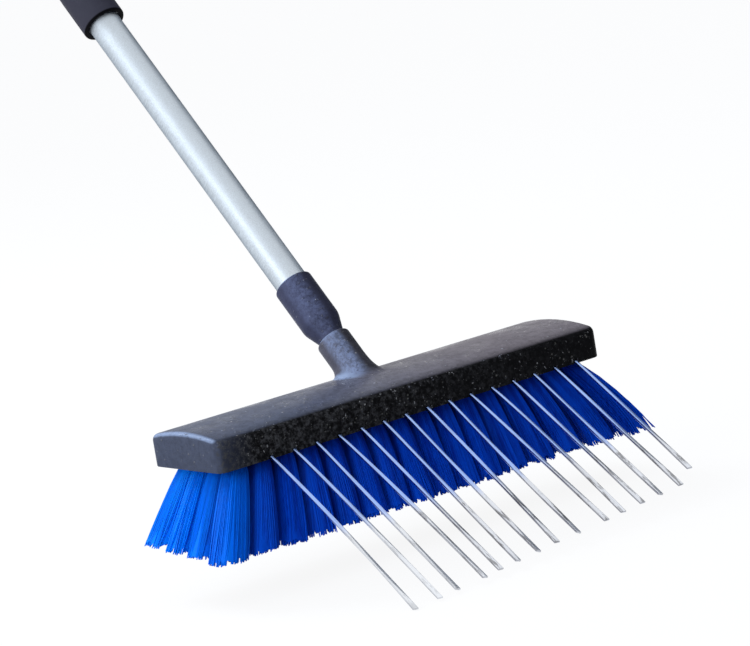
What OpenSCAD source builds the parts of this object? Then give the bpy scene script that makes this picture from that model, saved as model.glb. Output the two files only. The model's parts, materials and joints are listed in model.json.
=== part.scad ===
// Hand brush head with rake tines on a telescopic handle.
// Millimetres. +Z is up, +X runs along the block, the tines leave towards -Y and the handle leans towards +Y.
// The origin is the middle of the brush face: the plane that the front tufts' tips lie in.

/* [Block] */
// Length of the block
block_l = 348; // [280:1:440]
// Width of the block, front to back
block_w = 84; // [80:1:104]
// Height of the block at its edges
edge_h = 22.5; // [21:0.5:32]
// Extra height of the crowned top along its middle
crown = 4.5; // [2:0.5:8]
// Radius of the block's upright corners
corner_r = 8; // [6:0.5:14]
// Wall of the head shell
shell_t = 3.5; // [2.5:0.1:4]
// Gap around the bristle plate in the shell
plate_gap = 0.3; // [0.1:0.05:0.5]
// Thickness of the bristle plate
plate_t = 9; // [8:0.25:11]
// How far the plate's underside lies up inside the shell
plate_recess = 0.5; // [0:0.25:1.5]

/* [Tufts] */
// Distance from the block's end to the middle of its last tufts
end_margin = 24; // [16:0.5:30]
// Distance from the block's front or back to the middle of the nearest row
row_margin = 16.5; // [14.5:0.25:18]
// Radius of a tuft's hole in the plate
hole_r = 4.5; // [3.5:0.1:4.8]
// Depth of a tuft's hole
hole_depth = 6.5; // [5:0.25:7]
// Gap between neighbouring tufts at their tips
tuft_gap = 1.6; // [0.8:0.1:4]
// Length of the front tufts below the block
tuft_drop = 61; // [45:1:80]
// How much shorter each row is than the row in front of it
trim_step = 2; // [0:0.5:3]
// Lean of the outermost tufts at the left end
lean_left = 26; // [5:1:34]
// Lean of the outermost tufts at the right end
lean_right = 32; // [5:1:34]
// Lean of the front and back rows away from the middle
lean_rows = 13; // [6:1:18]
// Thickness of a tuft's metal anchor
anchor_t = 0.8; // [0.5:0.1:1.2]
// Height of a tuft's metal anchor
anchor_h = 1.6; // [1:0.1:2.5]

/* [Tines] */
// Angle of the tines below the block's underside
tine_tilt = 34; // [28:1:40]
// Length of the tine at the left end, from the block to its tip
tine_l_left = 171; // [120:1:220]
// Length that the row would reach at its right end
tine_l_right = 141; // [110:1:220]
// How much shorter than the row the last tine at the right end is
last_tine_cut = 10; // [0:1:25]
// Width of a tine where it leaves the block
tine_root_w = 3.2; // [2.4:0.1:4]
// Width of a tine at its tip
tine_tip_w = 4.8; // [3:0.1:6]
// Thickness of a tine
tine_t = 2; // [1.2:0.1:2.6]
// Height of a tine's centre above the block's underside, at the front face
tine_exit_z = 1.2; // [1:0.1:2.5]
// Clearance around a tine in its notch
notch_gap = 0.6; // [0.3:0.1:1]
// Length of a tine's tail along the plate
tail_l = 16; // [12:0.5:20]
// Thickness of the tine bar
bar_t = 3; // [2:0.25:4]

/* [Screws] */
// Radius of the bar screws
bar_screw_r = 1.5; // [1.2:0.1:2]
// Radius of the plate screws
plate_screw_r = 2; // [1.5:0.1:2.4]
// Radial clearance of a screw in its hole
screw_gap = 0.05; // [0.02:0.01:0.15]
// Radius of the shell's screw posts
post_r = 4.2; // [3.8:0.1:5]
// Distance of the back row of posts from the shell's back wall
post_inset = 4.5; // [4.2:0.1:6]
// Depth of a plate screw's thread in its post
post_screw_l = 6; // [4:0.5:7]

/* [Neck] */
// Lean of the neck and handle back from upright
lean = 44; // [30:1:50]
// Where the neck's axis crosses the height of the crown, behind the middle of the block
neck_y = 24; // [20:0.5:26]
// Length of the neck above that point
neck_l = 32; // [26:0.5:50]
// Outer radius of the neck
neck_r = 13.2; // [12.5:0.1:14.5]
// Radius of the threaded socket in the neck
socket_r = 9.5; // [8:0.1:10]
// Radius of the neck's foot where its axis crosses the crown
foot_r = 15; // [14.5:0.25:17]
// Height up the neck at which the foot runs out
foot_l = 14; // [10:0.5:18]

/* [Handle tip] */
// Outer radius of the handle tip
tip_body_r = 15; // [14.4:0.1:17]
// Length of the tip's round body, which is the depth that the tube goes in
tip_body_l = 37.5; // [28:0.5:60]
// Length of the tip's taper
taper_l = 14.7; // [10:0.1:22]
// Radius of the tip's waist, where it meets the neck
waist_r = 10.6; // [10.2:0.1:12]
// Length of the waist
waist_l = 3.3; // [2:0.1:6]
// Length of the tip's threaded stud
stud_l = 33; // [24:0.5:36]
// Radial clearance of the stud in the socket
thread_gap = 0.1; // [0.05:0.01:0.2]
// Depth of the thread
thread_depth = 1; // [0.5:0.1:1.5]
// Distance between turns of the thread
thread_pitch = 5; // [4:0.5:6]
// Radius of the hollow inside the stud
stud_bore_r = 5; // [3:0.5:6]
// Radius of the blind rivets' shanks
rivet_r = 1.6; // [1.2:0.1:2]
// Height of a rivet's head
rivet_head_h = 1; // [0.6:0.1:1.4]

/* [Tubes] */
// Outer radius of the lower tube
tube_r = 12.5; // [11.5:0.1:13]
// Wall of the lower tube
tube_t = 1.2; // [0.8:0.1:1.6]
// Length of the lower tube
tube_l = 520; // [480:5:540]
// Clearance between a fixed tube and what it seats in
seat_gap = 0.05; // [0.02:0.01:0.1]
// Length of lower tube that shows between the tip and the collar
shown_l = 274.5; // [240:0.5:300]
// Gap between the lower tube and the upper tube around it
slide_gap = 0.6; // [0.4:0.05:1]
// Wall of the upper tube
upper_t = 1.2; // [0.8:0.1:1.6]
// Length of the upper tube
upper_l = 495; // [480:5:560]
// Length of the guide's plug in the lower tube
guide_plug_l = 18; // [10:1:30]
// Length of the guide's running ring
guide_ring_l = 6; // [4:0.5:10]
// Radial clearance of a running fit
run_gap = 0.1; // [0.05:0.01:0.15]

/* [Lock] */
// Length of the lock collar
collar_l = 66; // [60:1:90]
// Wall of the lock collar over its sleeve
collar_t = 1.7; // [1.4:0.1:2.4]
// Length of the collar's end lip
lip_l = 4; // [3:0.5:6]
// Gap between the collar's lip and the lower tube
lip_gap = 0.4; // [0.3:0.05:0.8]
// Length of the split collet
collet_l = 14; // [10:0.5:20]
// Wall of the collet
collet_t = 2.2; // [1.6:0.1:2.4]
// Width of the collet's slit
collet_slit = 2; // [1:0.25:4]
// Wall of the lock sleeve
sleeve_t = 1.1; // [1:0.1:1.6]
// Length of the sleeve's shoulder below the upper tube
shoulder_l = 1.5; // [1:0.25:3]
// Length of the sleeve's flange above the collar
flange_l = 4; // [3:0.5:8]
// Gap at each end of the collar
collar_gap = 0.3; // [0.2:0.05:0.5]
// Distance of the retaining ring above the sleeve's shoulder
ring_up = 6; // [4:0.5:10]
// Length of the retaining ring
ring_l = 2; // [1.5:0.1:3]
// Depth of the retaining ring in the sleeve
ring_depth = 0.5; // [0.3:0.05:0.6]
// Number of finger flutes around the collar
flutes = 14; // [8:1:18]
// Radius of a flute's cutter
flute_r = 2; // [1.5:0.1:2.4]
// Depth of a flute
flute_depth = 0.6; // [0.3:0.05:0.8]

/* [Grip and cap] */
// Outer radius of the foam grip
grip_r = 17.5; // [16.5:0.1:20]
// Length of the foam grip
grip_l = 150; // [100:5:220]
// Length of the cap's plug in the upper tube
cap_plug_l = 22; // [12:1:24]
// Length of the cap's round head
cap_l = 8; // [5:0.5:12]
// Thickness of the cap's hanging tab
tab_t = 9; // [6:0.5:12]
// Width of the hanging tab
tab_w = 22; // [19:0.5:28]
// Distance from the cap's head to the hanging hole
hang_up = 10; // [8:0.5:16]
// Radius of the hanging hole
hang_r = 4; // [3:0.25:5]

/* [Hidden] */
TINES = 15;
COLUMNS = 16;
ROWS = 4;
function tine_name(i) = str("tine_", i < 9 ? "0" : "", i + 1);
ROW_NAMES = ["tuft_row_front", "tuft_row_mid_front", "tuft_row_mid_back", "tuft_row_back"];

$fn = 64;
BIG = 1000;
EPS = 0.01;

// Block: heights are measured from the block's underside
top_h = edge_h + crown;
crown_r = pow(block_w / 2, 2) / (2 * crown) + crown / 2;
cavity_l = block_l - 2 * shell_t;
cavity_w = block_w - 2 * shell_t;
cavity_r = max(corner_r - shell_t, 1);
plate_top = plate_recess + plate_t;
// Height of the shell's ceiling, y away from the middle of the block
function ceiling_z(y) = top_h - crown_r + sqrt(pow(crown_r - shell_t, 2) - y * y);
plate_front = -(cavity_w / 2 - plate_gap);

// Tufts
tuft_pitch = (block_l - 2 * end_margin) / (COLUMNS - 1);
row_pitch = (block_w - 2 * row_margin) / (ROWS - 1);
tip_r = (tuft_pitch - tuft_gap) / 2;
function tuft_x(j) = (j - (COLUMNS - 1) / 2) * tuft_pitch;
function row_y(k) = (k - (ROWS - 1) / 2) * row_pitch;
function row_drop(k) = tuft_drop - k * trim_step;
function lean_x(j) = (tuft_x(j) < 0 ? -lean_left : lean_right) * pow(tuft_x(j) / tuft_x(COLUMNS - 1), 2);
function lean_y(k) = lean_rows * row_y(k) / row_y(ROWS - 1);
hole_top = plate_recess + hole_depth;
root_gap = 0.1;
root_r = hole_r - root_gap;
cone_start_r = 0.8 * root_r;
cone_lead = 4;

// Tines: the first column of tufts has none in front of it
function tine_x(i) = tuft_x(i + 1);
function tine_l(i) = tine_l_left + (tine_l_right - tine_l_left) * i / (TINES - 1) - (i == TINES - 1 ? last_tine_cut : 0);
// Sideways lean of each tine in degrees, as bent by use
TINE_SKEW = [-0.5, 0.5, -0.5, 1.5, 0, -1, -1, -1.5, -1, 2, 1, 1, 0.5, 1, 0.5];
tine_slope = tan(tine_tilt);
tine_half_v = tine_t / 2 / cos(tine_tilt);
notch_h = tine_exit_z + tine_half_v + shell_t * tine_slope + notch_gap;
tail_top = plate_top + tine_t;
// Where the underside and the top of a sloping tine reach height z
function under_y(z) = -block_w / 2 + (z - tine_exit_z + tine_half_v) / tine_slope;
function over_y(z) = -block_w / 2 + (z - tine_exit_z - tine_half_v) / tine_slope;
tail_end_y = over_y(tail_top) + tail_l;

// Tine bar and screws
bar_margin = 7;
bar_z = tail_top;
bar_y0 = over_y(tail_top) + 2;
bar_w = tail_end_y - bar_y0;
bar_screw_y = bar_y0 + bar_w / 2;
BAR_SCREW_COLUMNS = [1, 5, 10, 14];
function bar_screw_x(i) = tuft_x(i) + tuft_pitch / 2;
bar_head_h = 1.4;
bar_thread_l = hole_depth - 1;
BAR_HEAD_RATIO = 1.9;
PLATE_SCREW_COLUMNS = [0, 4, 10, 14];
function plate_screw_x(i) = tuft_x(i) + tuft_pitch / 2;
PLATE_SCREW_ROWS = [0, cavity_w / 2 - post_inset];
plate_head_r = 1.75 * plate_screw_r;
plate_head_h = 2.2;
pilot_spare = 1;

// Neck and handle: s is a distance along the handle's axis from where it crosses the height of the crown
waist_s = neck_l;
taper_s = waist_s + waist_l;
tube_s = taper_s + taper_l;
tip_top_s = tube_s + tip_body_l;
stud_r = socket_r - thread_gap;
socket_floor_s = neck_l - stud_l - 3;
socket_wall = neck_r - socket_r;
foot_depth = 24;
foot_slope = (foot_r - neck_r + 0.4) / foot_l;
tube_top_s = tube_s + tube_l;
collar_s = tip_top_s + shown_l;
collet_s = collar_s + lip_l + collar_gap;
sleeve_s = collet_s + collet_l;
mouth_s = sleeve_s + shoulder_l;
upper_in_r = tube_r + slide_gap;
upper_r = upper_in_r + upper_t;
upper_top_s = mouth_s + upper_l;
sleeve_in_r = upper_r + seat_gap;
sleeve_r = sleeve_in_r + sleeve_t;
collar_in_r = sleeve_r + run_gap;
collar_r = collar_in_r + collar_t;
flange_s = collar_s + collar_l + collar_gap;
ring_s = mouth_s + ring_up;
ring_out_r = sleeve_r + 0.6;
ring_room = 0.2;
sleeve_rivet_s = (ring_s + ring_l + flange_s) / 2;
tip_rivet_s = tube_s + 0.6 * tip_body_l;
flute_s = sleeve_s + 6;
edge_round = 2;
cap_s = upper_top_s;
hang_s = cap_s + cap_l + hang_up;

// Puts children in the block's own frame, with its underside at z = 0
module at_block() translate([0, 0, tuft_drop]) children();

// Puts children on the handle's axis, with s along +Z and the underside of the lean towards +Y
module at_axis() at_block() translate([0, neck_y, top_h]) rotate([-lean, 0, 0]) children();

// A round bar along the axis from s0 to s1
module rod(s0, s1, r) translate([0, 0, s0]) cylinder(h = s1 - s0, r = r);

// A cone along the axis from s0 to s1
module taper(s0, s1, r0, r1) translate([0, 0, s0]) cylinder(h = s1 - s0, r1 = r0, r2 = r1);

// A tube along the axis from s0 to s1
module pipe(s0, s1, r_out, r_in) difference() {
    rod(s0, s1, r_out);
    rod(s0 - 1, s1 + 1, r_in);
}

// A tube or bar whose two end edges are rounded by e
module round_rod(s0, s1, r, e) rotate_extrude() {
    translate([0, s0]) square([r - e, s1 - s0]);
    translate([0, s0 + e]) square([r, s1 - s0 - 2 * e]);
    for (s = [s0 + e, s1 - e]) intersection() {
        translate([r - e, s]) circle(e);
        translate([0, s - e]) square([r, 2 * e]);
    }
}

// Outline of the block seen from above
module footprint(l, w, r) {
    square([l - 2 * r, w], center = true);
    square([l, w - 2 * r], center = true);
    for (x = [-1, 1], y = [-1, 1]) translate([x * (l / 2 - r), y * (w / 2 - r)]) circle(r);
}

// Block of length l and width w from height z0 up to a crown of radius r
module crowned(l, w, z0, r, corner) intersection() {
    translate([0, 0, z0]) linear_extrude(BIG) footprint(l, w, corner);
    translate([-l, 0, top_h - crown_r]) rotate([90, 0, 90]) cylinder(h = 2 * l, r = r, $fn = 256);
}

module block_solid() crowned(block_l, block_w, 0, crown_r, corner_r);

module block_cavity() crowned(cavity_l, cavity_w, -1, crown_r - shell_t, cavity_r);

// Keeps what lies clear above the plate
module above_plate() difference() {
    children();
    translate([-BIG / 2, -BIG / 2, plate_top + 1 - BIG]) cube(BIG);
}

// Round foot that widens the neck down to the crown
module neck_foot() above_plate() at_neck()
    taper(-foot_depth, foot_l, foot_r + foot_depth * foot_slope, foot_r - foot_l * foot_slope);

// The handle's axis inside the block's own frame
module at_neck() translate([0, neck_y, top_h]) rotate([-lean, 0, 0]) children();

module plate_screw_places() for (i = PLATE_SCREW_COLUMNS, y = PLATE_SCREW_ROWS) translate([plate_screw_x(i), y, 0]) children();

module bar_screw_places() for (i = BAR_SCREW_COLUMNS) translate([bar_screw_x(i), bar_screw_y, 0]) children();

module head_shell() color([0.25, 0.26, 0.29]) at_block() difference() {
    union() {
        difference() {
            union() {
                block_solid();
                neck_foot();
            }
            block_cavity();
        }
        above_plate() at_neck() rod(socket_floor_s - socket_wall, neck_l, neck_r);
        for (i = PLATE_SCREW_COLUMNS, y = PLATE_SCREW_ROWS) translate([plate_screw_x(i), y, plate_top])
            cylinder(h = ceiling_z(y) + shell_t / 2 - plate_top, r = post_r);
    }
    at_neck() rod(socket_floor_s, neck_l + 1, socket_r);
    plate_screw_places() cylinder(h = plate_top + post_screw_l + pilot_spare, r = plate_screw_r + screw_gap);
    for (i = [0 : TINES - 1])
        translate([tine_x(i), -block_w / 2 + shell_t / 2, 0])
            cube([tine_root_w + 2 * notch_gap, 2 * shell_t, 2 * notch_h], center = true);
}

module bristle_plate() color([0.2, 0.2, 0.22]) at_block() difference() {
    intersection() {
        linear_extrude(BIG) footprint(cavity_l - 2 * plate_gap, cavity_w - 2 * plate_gap, cavity_r);
        translate([-block_l / 2, 0, 0]) rotate([90, 0, 90]) linear_extrude(block_l) plate_profile();
    }
    tuft_places() translate([0, 0, plate_recess - 1]) cylinder(h = hole_depth + 1, r = hole_r);
    plate_screw_places() {
        cylinder(h = plate_top + 1, r = plate_screw_r + screw_gap);
        translate([0, 0, plate_recess - 1]) cylinder(h = plate_head_h + 1, r = plate_head_r + screw_gap);
    }
    bar_screw_places() translate([0, 0, plate_top - bar_thread_l]) cylinder(h = plate_t, r = bar_screw_r + screw_gap);
}

// Side view of the plate: its front slopes as the tines' undersides do
module plate_profile() {
    slope_low = tine_exit_z - tine_half_v + (plate_front + block_w / 2) * tine_slope;
    polygon([
        [plate_front, plate_recess], [-plate_front, plate_recess], [-plate_front, plate_top],
        [under_y(plate_top), plate_top], [plate_front, slope_low]]);
}

module tuft_places() for (j = [0 : COLUMNS - 1], k = [0 : ROWS - 1]) translate([tuft_x(j), row_y(k), 0]) children();

module tuft_anchors() color("silver") at_block() tuft_places() anchor();

module anchor() translate([-root_r, -anchor_t / 2, hole_top - anchor_h]) cube([2 * root_r, anchor_t, anchor_h]);

// One row of tufts: each is a round root in its hole and a leaning cone below it
module tuft_row(k) color([0, 0.32, 0.85]) at_block() {
    for (j = [0 : COLUMNS - 1]) translate([tuft_x(j), row_y(k), 0]) difference() {
        union() {
            translate([0, 0, plate_recess]) cylinder(h = hole_depth - root_gap, r = root_r);
            tuft_cone(k, lean_x(j), lean_y(k));
        }
        translate([-hole_r, -anchor_t / 2 - root_gap, hole_top - anchor_h - root_gap])
            cube([2 * hole_r, anchor_t + 2 * root_gap, 2 * anchor_h]);
    }
}

// The leaning part of a tuft, cut level at the plate and at its tips
module tuft_cone(k, ax, ay) {
    drop = row_drop(k) + plate_recess;
    grow = (tip_r - cone_start_r) / drop;
    intersection() {
        translate([0, 0, plate_recess]) rotate([ay, -ax, 0]) rotate([180, 0, 0]) translate([0, 0, -cone_lead])
            cylinder(h = 2 * drop, r1 = cone_start_r - cone_lead * grow, r2 = cone_start_r + (2 * drop - cone_lead) * grow);
        translate([-BIG / 2, -BIG / 2, plate_recess - drop]) cube([BIG, BIG, drop]);
    }
}

// Side view of tine i: a level tail on the plate, a bend, and the long slope down to the tip
module tine_side(i) {
    tip = [-block_w / 2 - tine_l(i) * cos(tine_tilt), tine_exit_z - tine_l(i) * sin(tine_tilt)];
    half = [-sin(tine_tilt), cos(tine_tilt)] * tine_t / 2;
    polygon([
        tip - half, [under_y(plate_top), plate_top],
        [tail_end_y, plate_top], [tail_end_y, tail_top],
        [over_y(tail_top), tail_top], tip + half]);
}

// Tine i seen from above: it widens and leans sideways from the block's front to its tip
module tine_plan(i) {
    out = (tine_l(i) + tine_t) * cos(tine_tilt);
    side = tine_l(i) * tan(TINE_SKEW[i]);
    polygon([
        [-tine_root_w / 2, tail_end_y + 1], [-tine_root_w / 2, -block_w / 2],
        [side - tine_tip_w / 2, -block_w / 2 - out], [side + tine_tip_w / 2, -block_w / 2 - out],
        [tine_root_w / 2, -block_w / 2], [tine_root_w / 2, tail_end_y + 1]]);
}

module tine(i) color([0.8, 0.82, 0.85]) at_block() translate([tine_x(i), 0, 0]) intersection() {
    translate([-BIG / 2, 0, 0]) rotate([90, 0, 90]) linear_extrude(BIG) tine_side(i);
    translate([0, 0, -BIG / 2]) linear_extrude(BIG) tine_plan(i);
}

module tine_bar() color([0.6, 0.62, 0.65]) at_block() difference() {
    translate([tine_x(0) - bar_margin, bar_y0, bar_z]) cube([tine_x(TINES - 1) - tine_x(0) + 2 * bar_margin, bar_w, bar_t]);
    bar_screw_places() cylinder(h = BIG, r = bar_screw_r + screw_gap);
}

module bar_screws() color("dimgray") at_block() bar_screw_places() {
    translate([0, 0, plate_top - bar_thread_l]) cylinder(h = bar_thread_l + tine_t + bar_t + EPS, r = bar_screw_r);
    translate([0, 0, bar_z + bar_t]) cylinder(h = bar_head_h, r = BAR_HEAD_RATIO * bar_screw_r);
}

module plate_screws() color("dimgray") at_block() plate_screw_places() {
    translate([0, 0, plate_recess + plate_head_h - EPS]) cylinder(h = plate_t - plate_head_h + post_screw_l, r = plate_screw_r);
    translate([0, 0, plate_recess + 0.2]) difference() {
        cylinder(h = plate_head_h - 0.2, r = plate_head_r);
        for (a = [0, 90]) rotate([0, 0, a]) cube([plate_head_r, 0.8, 2], center = true);
    }
}

module handle_tip() color([0.22, 0.23, 0.27]) at_axis() difference() {
    union() {
        rod(waist_s - stud_l, waist_s + 1, stud_r - thread_depth);
        for (s = [waist_s - stud_l + 1 : thread_pitch : waist_s - thread_pitch / 2]) {
            taper(s, s + thread_depth, stud_r - thread_depth - EPS, stud_r);
            taper(s + thread_depth, s + 2 * thread_depth, stud_r, stud_r - thread_depth - EPS);
        }
        rod(waist_s, taper_s + 1, waist_r);
        taper(taper_s, tube_s, waist_r, tip_body_r);
        round_rod(tube_s, tip_top_s, tip_body_r, edge_round / 2);
        rod(tube_s - EPS, tube_s + edge_round, tip_body_r);
    }
    rod(waist_s - stud_l - 1, tube_s + 1, stud_bore_r);
    rod(tube_s, tip_top_s + 1, tube_r + seat_gap);
    tip_rivet_hole();
}

module tip_rivet_hole() translate([0, 0, tip_rivet_s]) rotate([-90, 0, 0]) cylinder(h = 2 * tip_body_r, r = rivet_r + screw_gap);

module tip_rivet() color("silver") at_axis() blind_rivet(tip_rivet_s, tube_r - tube_t - 1, tip_body_r);

// Rivet at s with its shank from radius r_in out to the surface at radius r_out
module blind_rivet(s, r_in, r_out) translate([0, 0, s]) rotate([-90, 0, 0]) {
    translate([0, 0, r_in]) cylinder(h = r_out - r_in + EPS, r = rivet_r);
    translate([0, 0, r_out]) cylinder(h = rivet_head_h, r1 = 2 * rivet_r, r2 = 1.4 * rivet_r);
}

module lower_tube() color([0.82, 0.85, 0.88]) at_axis() difference() {
    pipe(tube_s, tube_top_s, tube_r, tube_r - tube_t);
    tip_rivet_hole();
}

module tube_guide() color([0.9, 0.9, 0.86]) at_axis() difference() {
    union() {
        rod(tube_top_s - guide_plug_l, tube_top_s + 1, tube_r - tube_t - seat_gap);
        rod(tube_top_s, tube_top_s + guide_ring_l, upper_in_r - run_gap);
    }
    rod(tube_top_s - guide_plug_l - 1, tube_top_s + guide_ring_l + 1, tube_r / 2);
}

module upper_tube() color([0.82, 0.85, 0.88]) at_axis() difference() {
    pipe(mouth_s, upper_top_s, upper_r, upper_in_r);
    sleeve_rivet_holes();
}

module sleeve_rivet_holes() for (a = [0, 180]) rotate([0, 0, a]) translate([0, 0, sleeve_rivet_s])
    rotate([-90, 0, 0]) cylinder(h = sleeve_r + 1, r = rivet_r + screw_gap);

module sleeve_rivets() color("silver") at_axis() intersection() {
    for (a = [0, 180]) rotate([0, 0, a]) translate([0, 0, sleeve_rivet_s]) rotate([-90, 0, 0]) cylinder(h = sleeve_r + 1, r = rivet_r);
    pipe(mouth_s, flange_s, sleeve_r, upper_in_r);
}

module lock_sleeve() color([0.3, 0.3, 0.33]) at_axis() difference() {
    union() {
        rod(sleeve_s, flange_s + 1, sleeve_r);
        rod(flange_s, flange_s + flange_l, collar_r);
    }
    rod(sleeve_s - 1, mouth_s + 1, upper_in_r);
    rod(mouth_s, flange_s + flange_l + 1, sleeve_in_r);
    pipe(ring_s - ring_room / 2, ring_s + ring_l + ring_room / 2, sleeve_r + 1, sleeve_r - ring_depth);
    sleeve_rivet_holes();
}

module lock_collet() color([0.85, 0.85, 0.8]) at_axis() difference() {
    taper(collet_s, sleeve_s, tube_r + run_gap + collet_t * 0.75, tube_r + run_gap + collet_t);
    rod(collet_s - 1, sleeve_s + 1, tube_r + run_gap);
    translate([-collet_slit / 2, 0, collet_s - 1]) cube([collet_slit, 2 * tube_r, collet_l + 2]);
}

module retaining_ring() color("silver") at_axis() difference() {
    pipe(ring_s, ring_s + ring_l, ring_out_r, sleeve_r - ring_depth + seat_gap);
    translate([-collet_slit / 2, 0, ring_s - 1]) cube([collet_slit, 2 * tube_r, ring_l + 2]);
}

module lock_collar() color([0.2, 0.21, 0.25]) at_axis() difference() {
    round_rod(collar_s, collar_s + collar_l, collar_r, edge_round / 2);
    rod(collar_s - 1, collar_s + lip_l + 1, tube_r + lip_gap);
    rod(collar_s + lip_l, collar_s + collar_l + 1, collar_in_r);
    rod(ring_s - ring_room, ring_s + ring_l + ring_room, ring_out_r + ring_room);
    for (i = [0 : flutes - 1]) rotate([0, 0, i * 360 / flutes])
        translate([0, collar_r + flute_r - flute_depth, flute_s]) cylinder(h = collar_l, r = flute_r);
}

module foam_grip() color([0.12, 0.12, 0.13]) at_axis() difference() {
    round_rod(upper_top_s - grip_l, upper_top_s, grip_r, edge_round);
    rod(upper_top_s - grip_l - 1, upper_top_s + 1, upper_r + seat_gap);
}

module end_cap() color([0.15, 0.15, 0.17]) at_axis() difference() {
    union() {
        rod(cap_s - cap_plug_l, cap_s + 1, upper_in_r - seat_gap);
        round_rod(cap_s, cap_s + cap_l, grip_r, edge_round);
        translate([-tab_t / 2, -tab_w / 2, cap_s + cap_l - 1]) cube([tab_t, tab_w, hang_up + 1]);
        translate([-tab_t / 2, 0, hang_s]) rotate([0, 90, 0]) cylinder(h = tab_t, r = tab_w / 2);
    }
    translate([-tab_t, 0, hang_s]) rotate([0, 90, 0]) cylinder(h = 2 * tab_t, r = hang_r);
}

head_shell();
bristle_plate();
tine_bar();
bar_screws();
plate_screws();
tuft_anchors();
for (k = [0 : ROWS - 1]) tuft_row(k);
for (i = [0 : TINES - 1]) tine(i);
handle_tip();
tip_rivet();
lower_tube();
tube_guide();
upper_tube();
lock_sleeve();
sleeve_rivets();
lock_collet();
retaining_ring();
lock_collar();
foam_grip();
end_cap();
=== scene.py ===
"""Looks of a brush head with rake tines on a telescopic handle.

Every length is in metres. +X runs along the block, the tines leave towards -Y, the handle leans towards
+Y, and the origin is the middle of the brush face.
"""

import json
import logging
import math
from dataclasses import dataclass, field
from enum import Enum
from typing import Iterable, Sequence

import bmesh
import bpy
import numpy as np
from mathutils import Matrix, Vector
from mathutils.geometry import delaunay_2d_cdt


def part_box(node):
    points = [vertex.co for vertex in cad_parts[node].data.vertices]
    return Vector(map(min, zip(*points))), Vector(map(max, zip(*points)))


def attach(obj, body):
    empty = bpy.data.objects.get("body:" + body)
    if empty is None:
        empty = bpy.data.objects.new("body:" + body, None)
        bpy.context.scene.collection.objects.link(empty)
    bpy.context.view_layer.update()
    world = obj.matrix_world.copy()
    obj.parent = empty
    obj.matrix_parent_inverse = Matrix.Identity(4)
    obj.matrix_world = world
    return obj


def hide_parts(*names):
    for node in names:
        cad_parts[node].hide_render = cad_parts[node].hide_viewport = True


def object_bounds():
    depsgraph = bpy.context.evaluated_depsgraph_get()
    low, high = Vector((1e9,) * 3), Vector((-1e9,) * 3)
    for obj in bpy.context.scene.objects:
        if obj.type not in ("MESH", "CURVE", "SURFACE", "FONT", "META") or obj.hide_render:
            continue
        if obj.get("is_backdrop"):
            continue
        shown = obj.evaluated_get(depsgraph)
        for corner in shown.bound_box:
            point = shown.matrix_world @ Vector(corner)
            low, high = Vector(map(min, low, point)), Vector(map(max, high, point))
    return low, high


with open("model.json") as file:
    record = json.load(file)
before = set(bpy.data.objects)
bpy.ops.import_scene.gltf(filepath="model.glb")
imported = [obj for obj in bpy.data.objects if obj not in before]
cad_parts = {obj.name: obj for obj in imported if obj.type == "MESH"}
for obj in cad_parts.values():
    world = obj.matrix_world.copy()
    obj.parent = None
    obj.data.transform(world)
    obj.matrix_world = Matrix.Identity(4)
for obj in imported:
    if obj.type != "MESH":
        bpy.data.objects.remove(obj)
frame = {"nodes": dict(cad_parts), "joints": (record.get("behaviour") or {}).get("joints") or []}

LOG = logging.getLogger("brush")
TINE_COUNT = 15
MM = 0.001
SLACK = 0.1 * MM  # how far a corner may lie from the face that it is taken for
AXIS_GAP = 0.2 * MM  # radius at which a solid turned piece closes on its axis
NEAR_ZERO = 1e-9  # keeps a divisor off zero
GOLDEN_ANGLE = math.pi * (3.0 - math.sqrt(5.0))
SQUARE = ((-1, -1), (1, -1), (1, 1), (-1, 1))

Colour = tuple[float, float, float]
Triple = tuple[float, float, float]
Range = tuple[float, float]
Point2 = tuple[float, float]
Corner = tuple[float, float, float]
Draws = np.random.Generator
Socket = bpy.types.NodeSocket
Value = Socket | float | Triple

UP: Triple = (0.0, 0.0, 1.0)
LEFT: Triple = (-1.0, 0.0, 0.0)
FRONT: Triple = (0.0, -1.0, 0.0)


class Body(Enum):
    """Moving bodies that the pieces ride on."""

    HEAD = "head"
    COLLAR = "collar"
    UPPER = "upper_handle"


class TuftRowNode(Enum):
    """The rows of tufts, from the tines' side to the handle's side."""

    FRONT = "tuft_row_front"
    MID_FRONT = "tuft_row_mid_front"
    MID_BACK = "tuft_row_mid_back"
    BACK = "tuft_row_back"


# ---------------------------------------------------------------- measuring


def node_points(node: str) -> np.ndarray:
    """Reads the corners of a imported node.

    Args:
        node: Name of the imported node.

    Returns:
        An array with one row of x, y and z for each corner.
    """
    mesh = frame["nodes"][node].data
    flat = np.zeros(len(mesh.vertices) * 3)
    mesh.vertices.foreach_get("co", flat)
    return flat.reshape(-1, 3)


def islands(node: str, weld: float = 0.001 * MM) -> list[np.ndarray]:
    """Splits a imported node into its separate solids.

    Args:
        node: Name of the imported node.
        weld: Corners closer than this are one.

    Returns:
        One array of corners for each solid, ordered along X.
    """
    bm = bmesh.new()
    bm.from_mesh(frame["nodes"][node].data)
    bmesh.ops.remove_doubles(bm, verts=bm.verts, dist=weld)
    seen: set = set()
    groups = []
    for start in bm.verts:
        if start in seen:
            continue
        seen.add(start)
        waiting, group = [start], []
        while waiting:
            vertex = waiting.pop()
            group.append(tuple(vertex.co))
            for edge in vertex.link_edges:
                other = edge.other_vert(vertex)
                if other not in seen:
                    seen.add(other)
                    waiting.append(other)
        groups.append(np.array(group))
    bm.free()
    return sorted(groups, key=lambda g: g[:, 0].mean())


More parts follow.
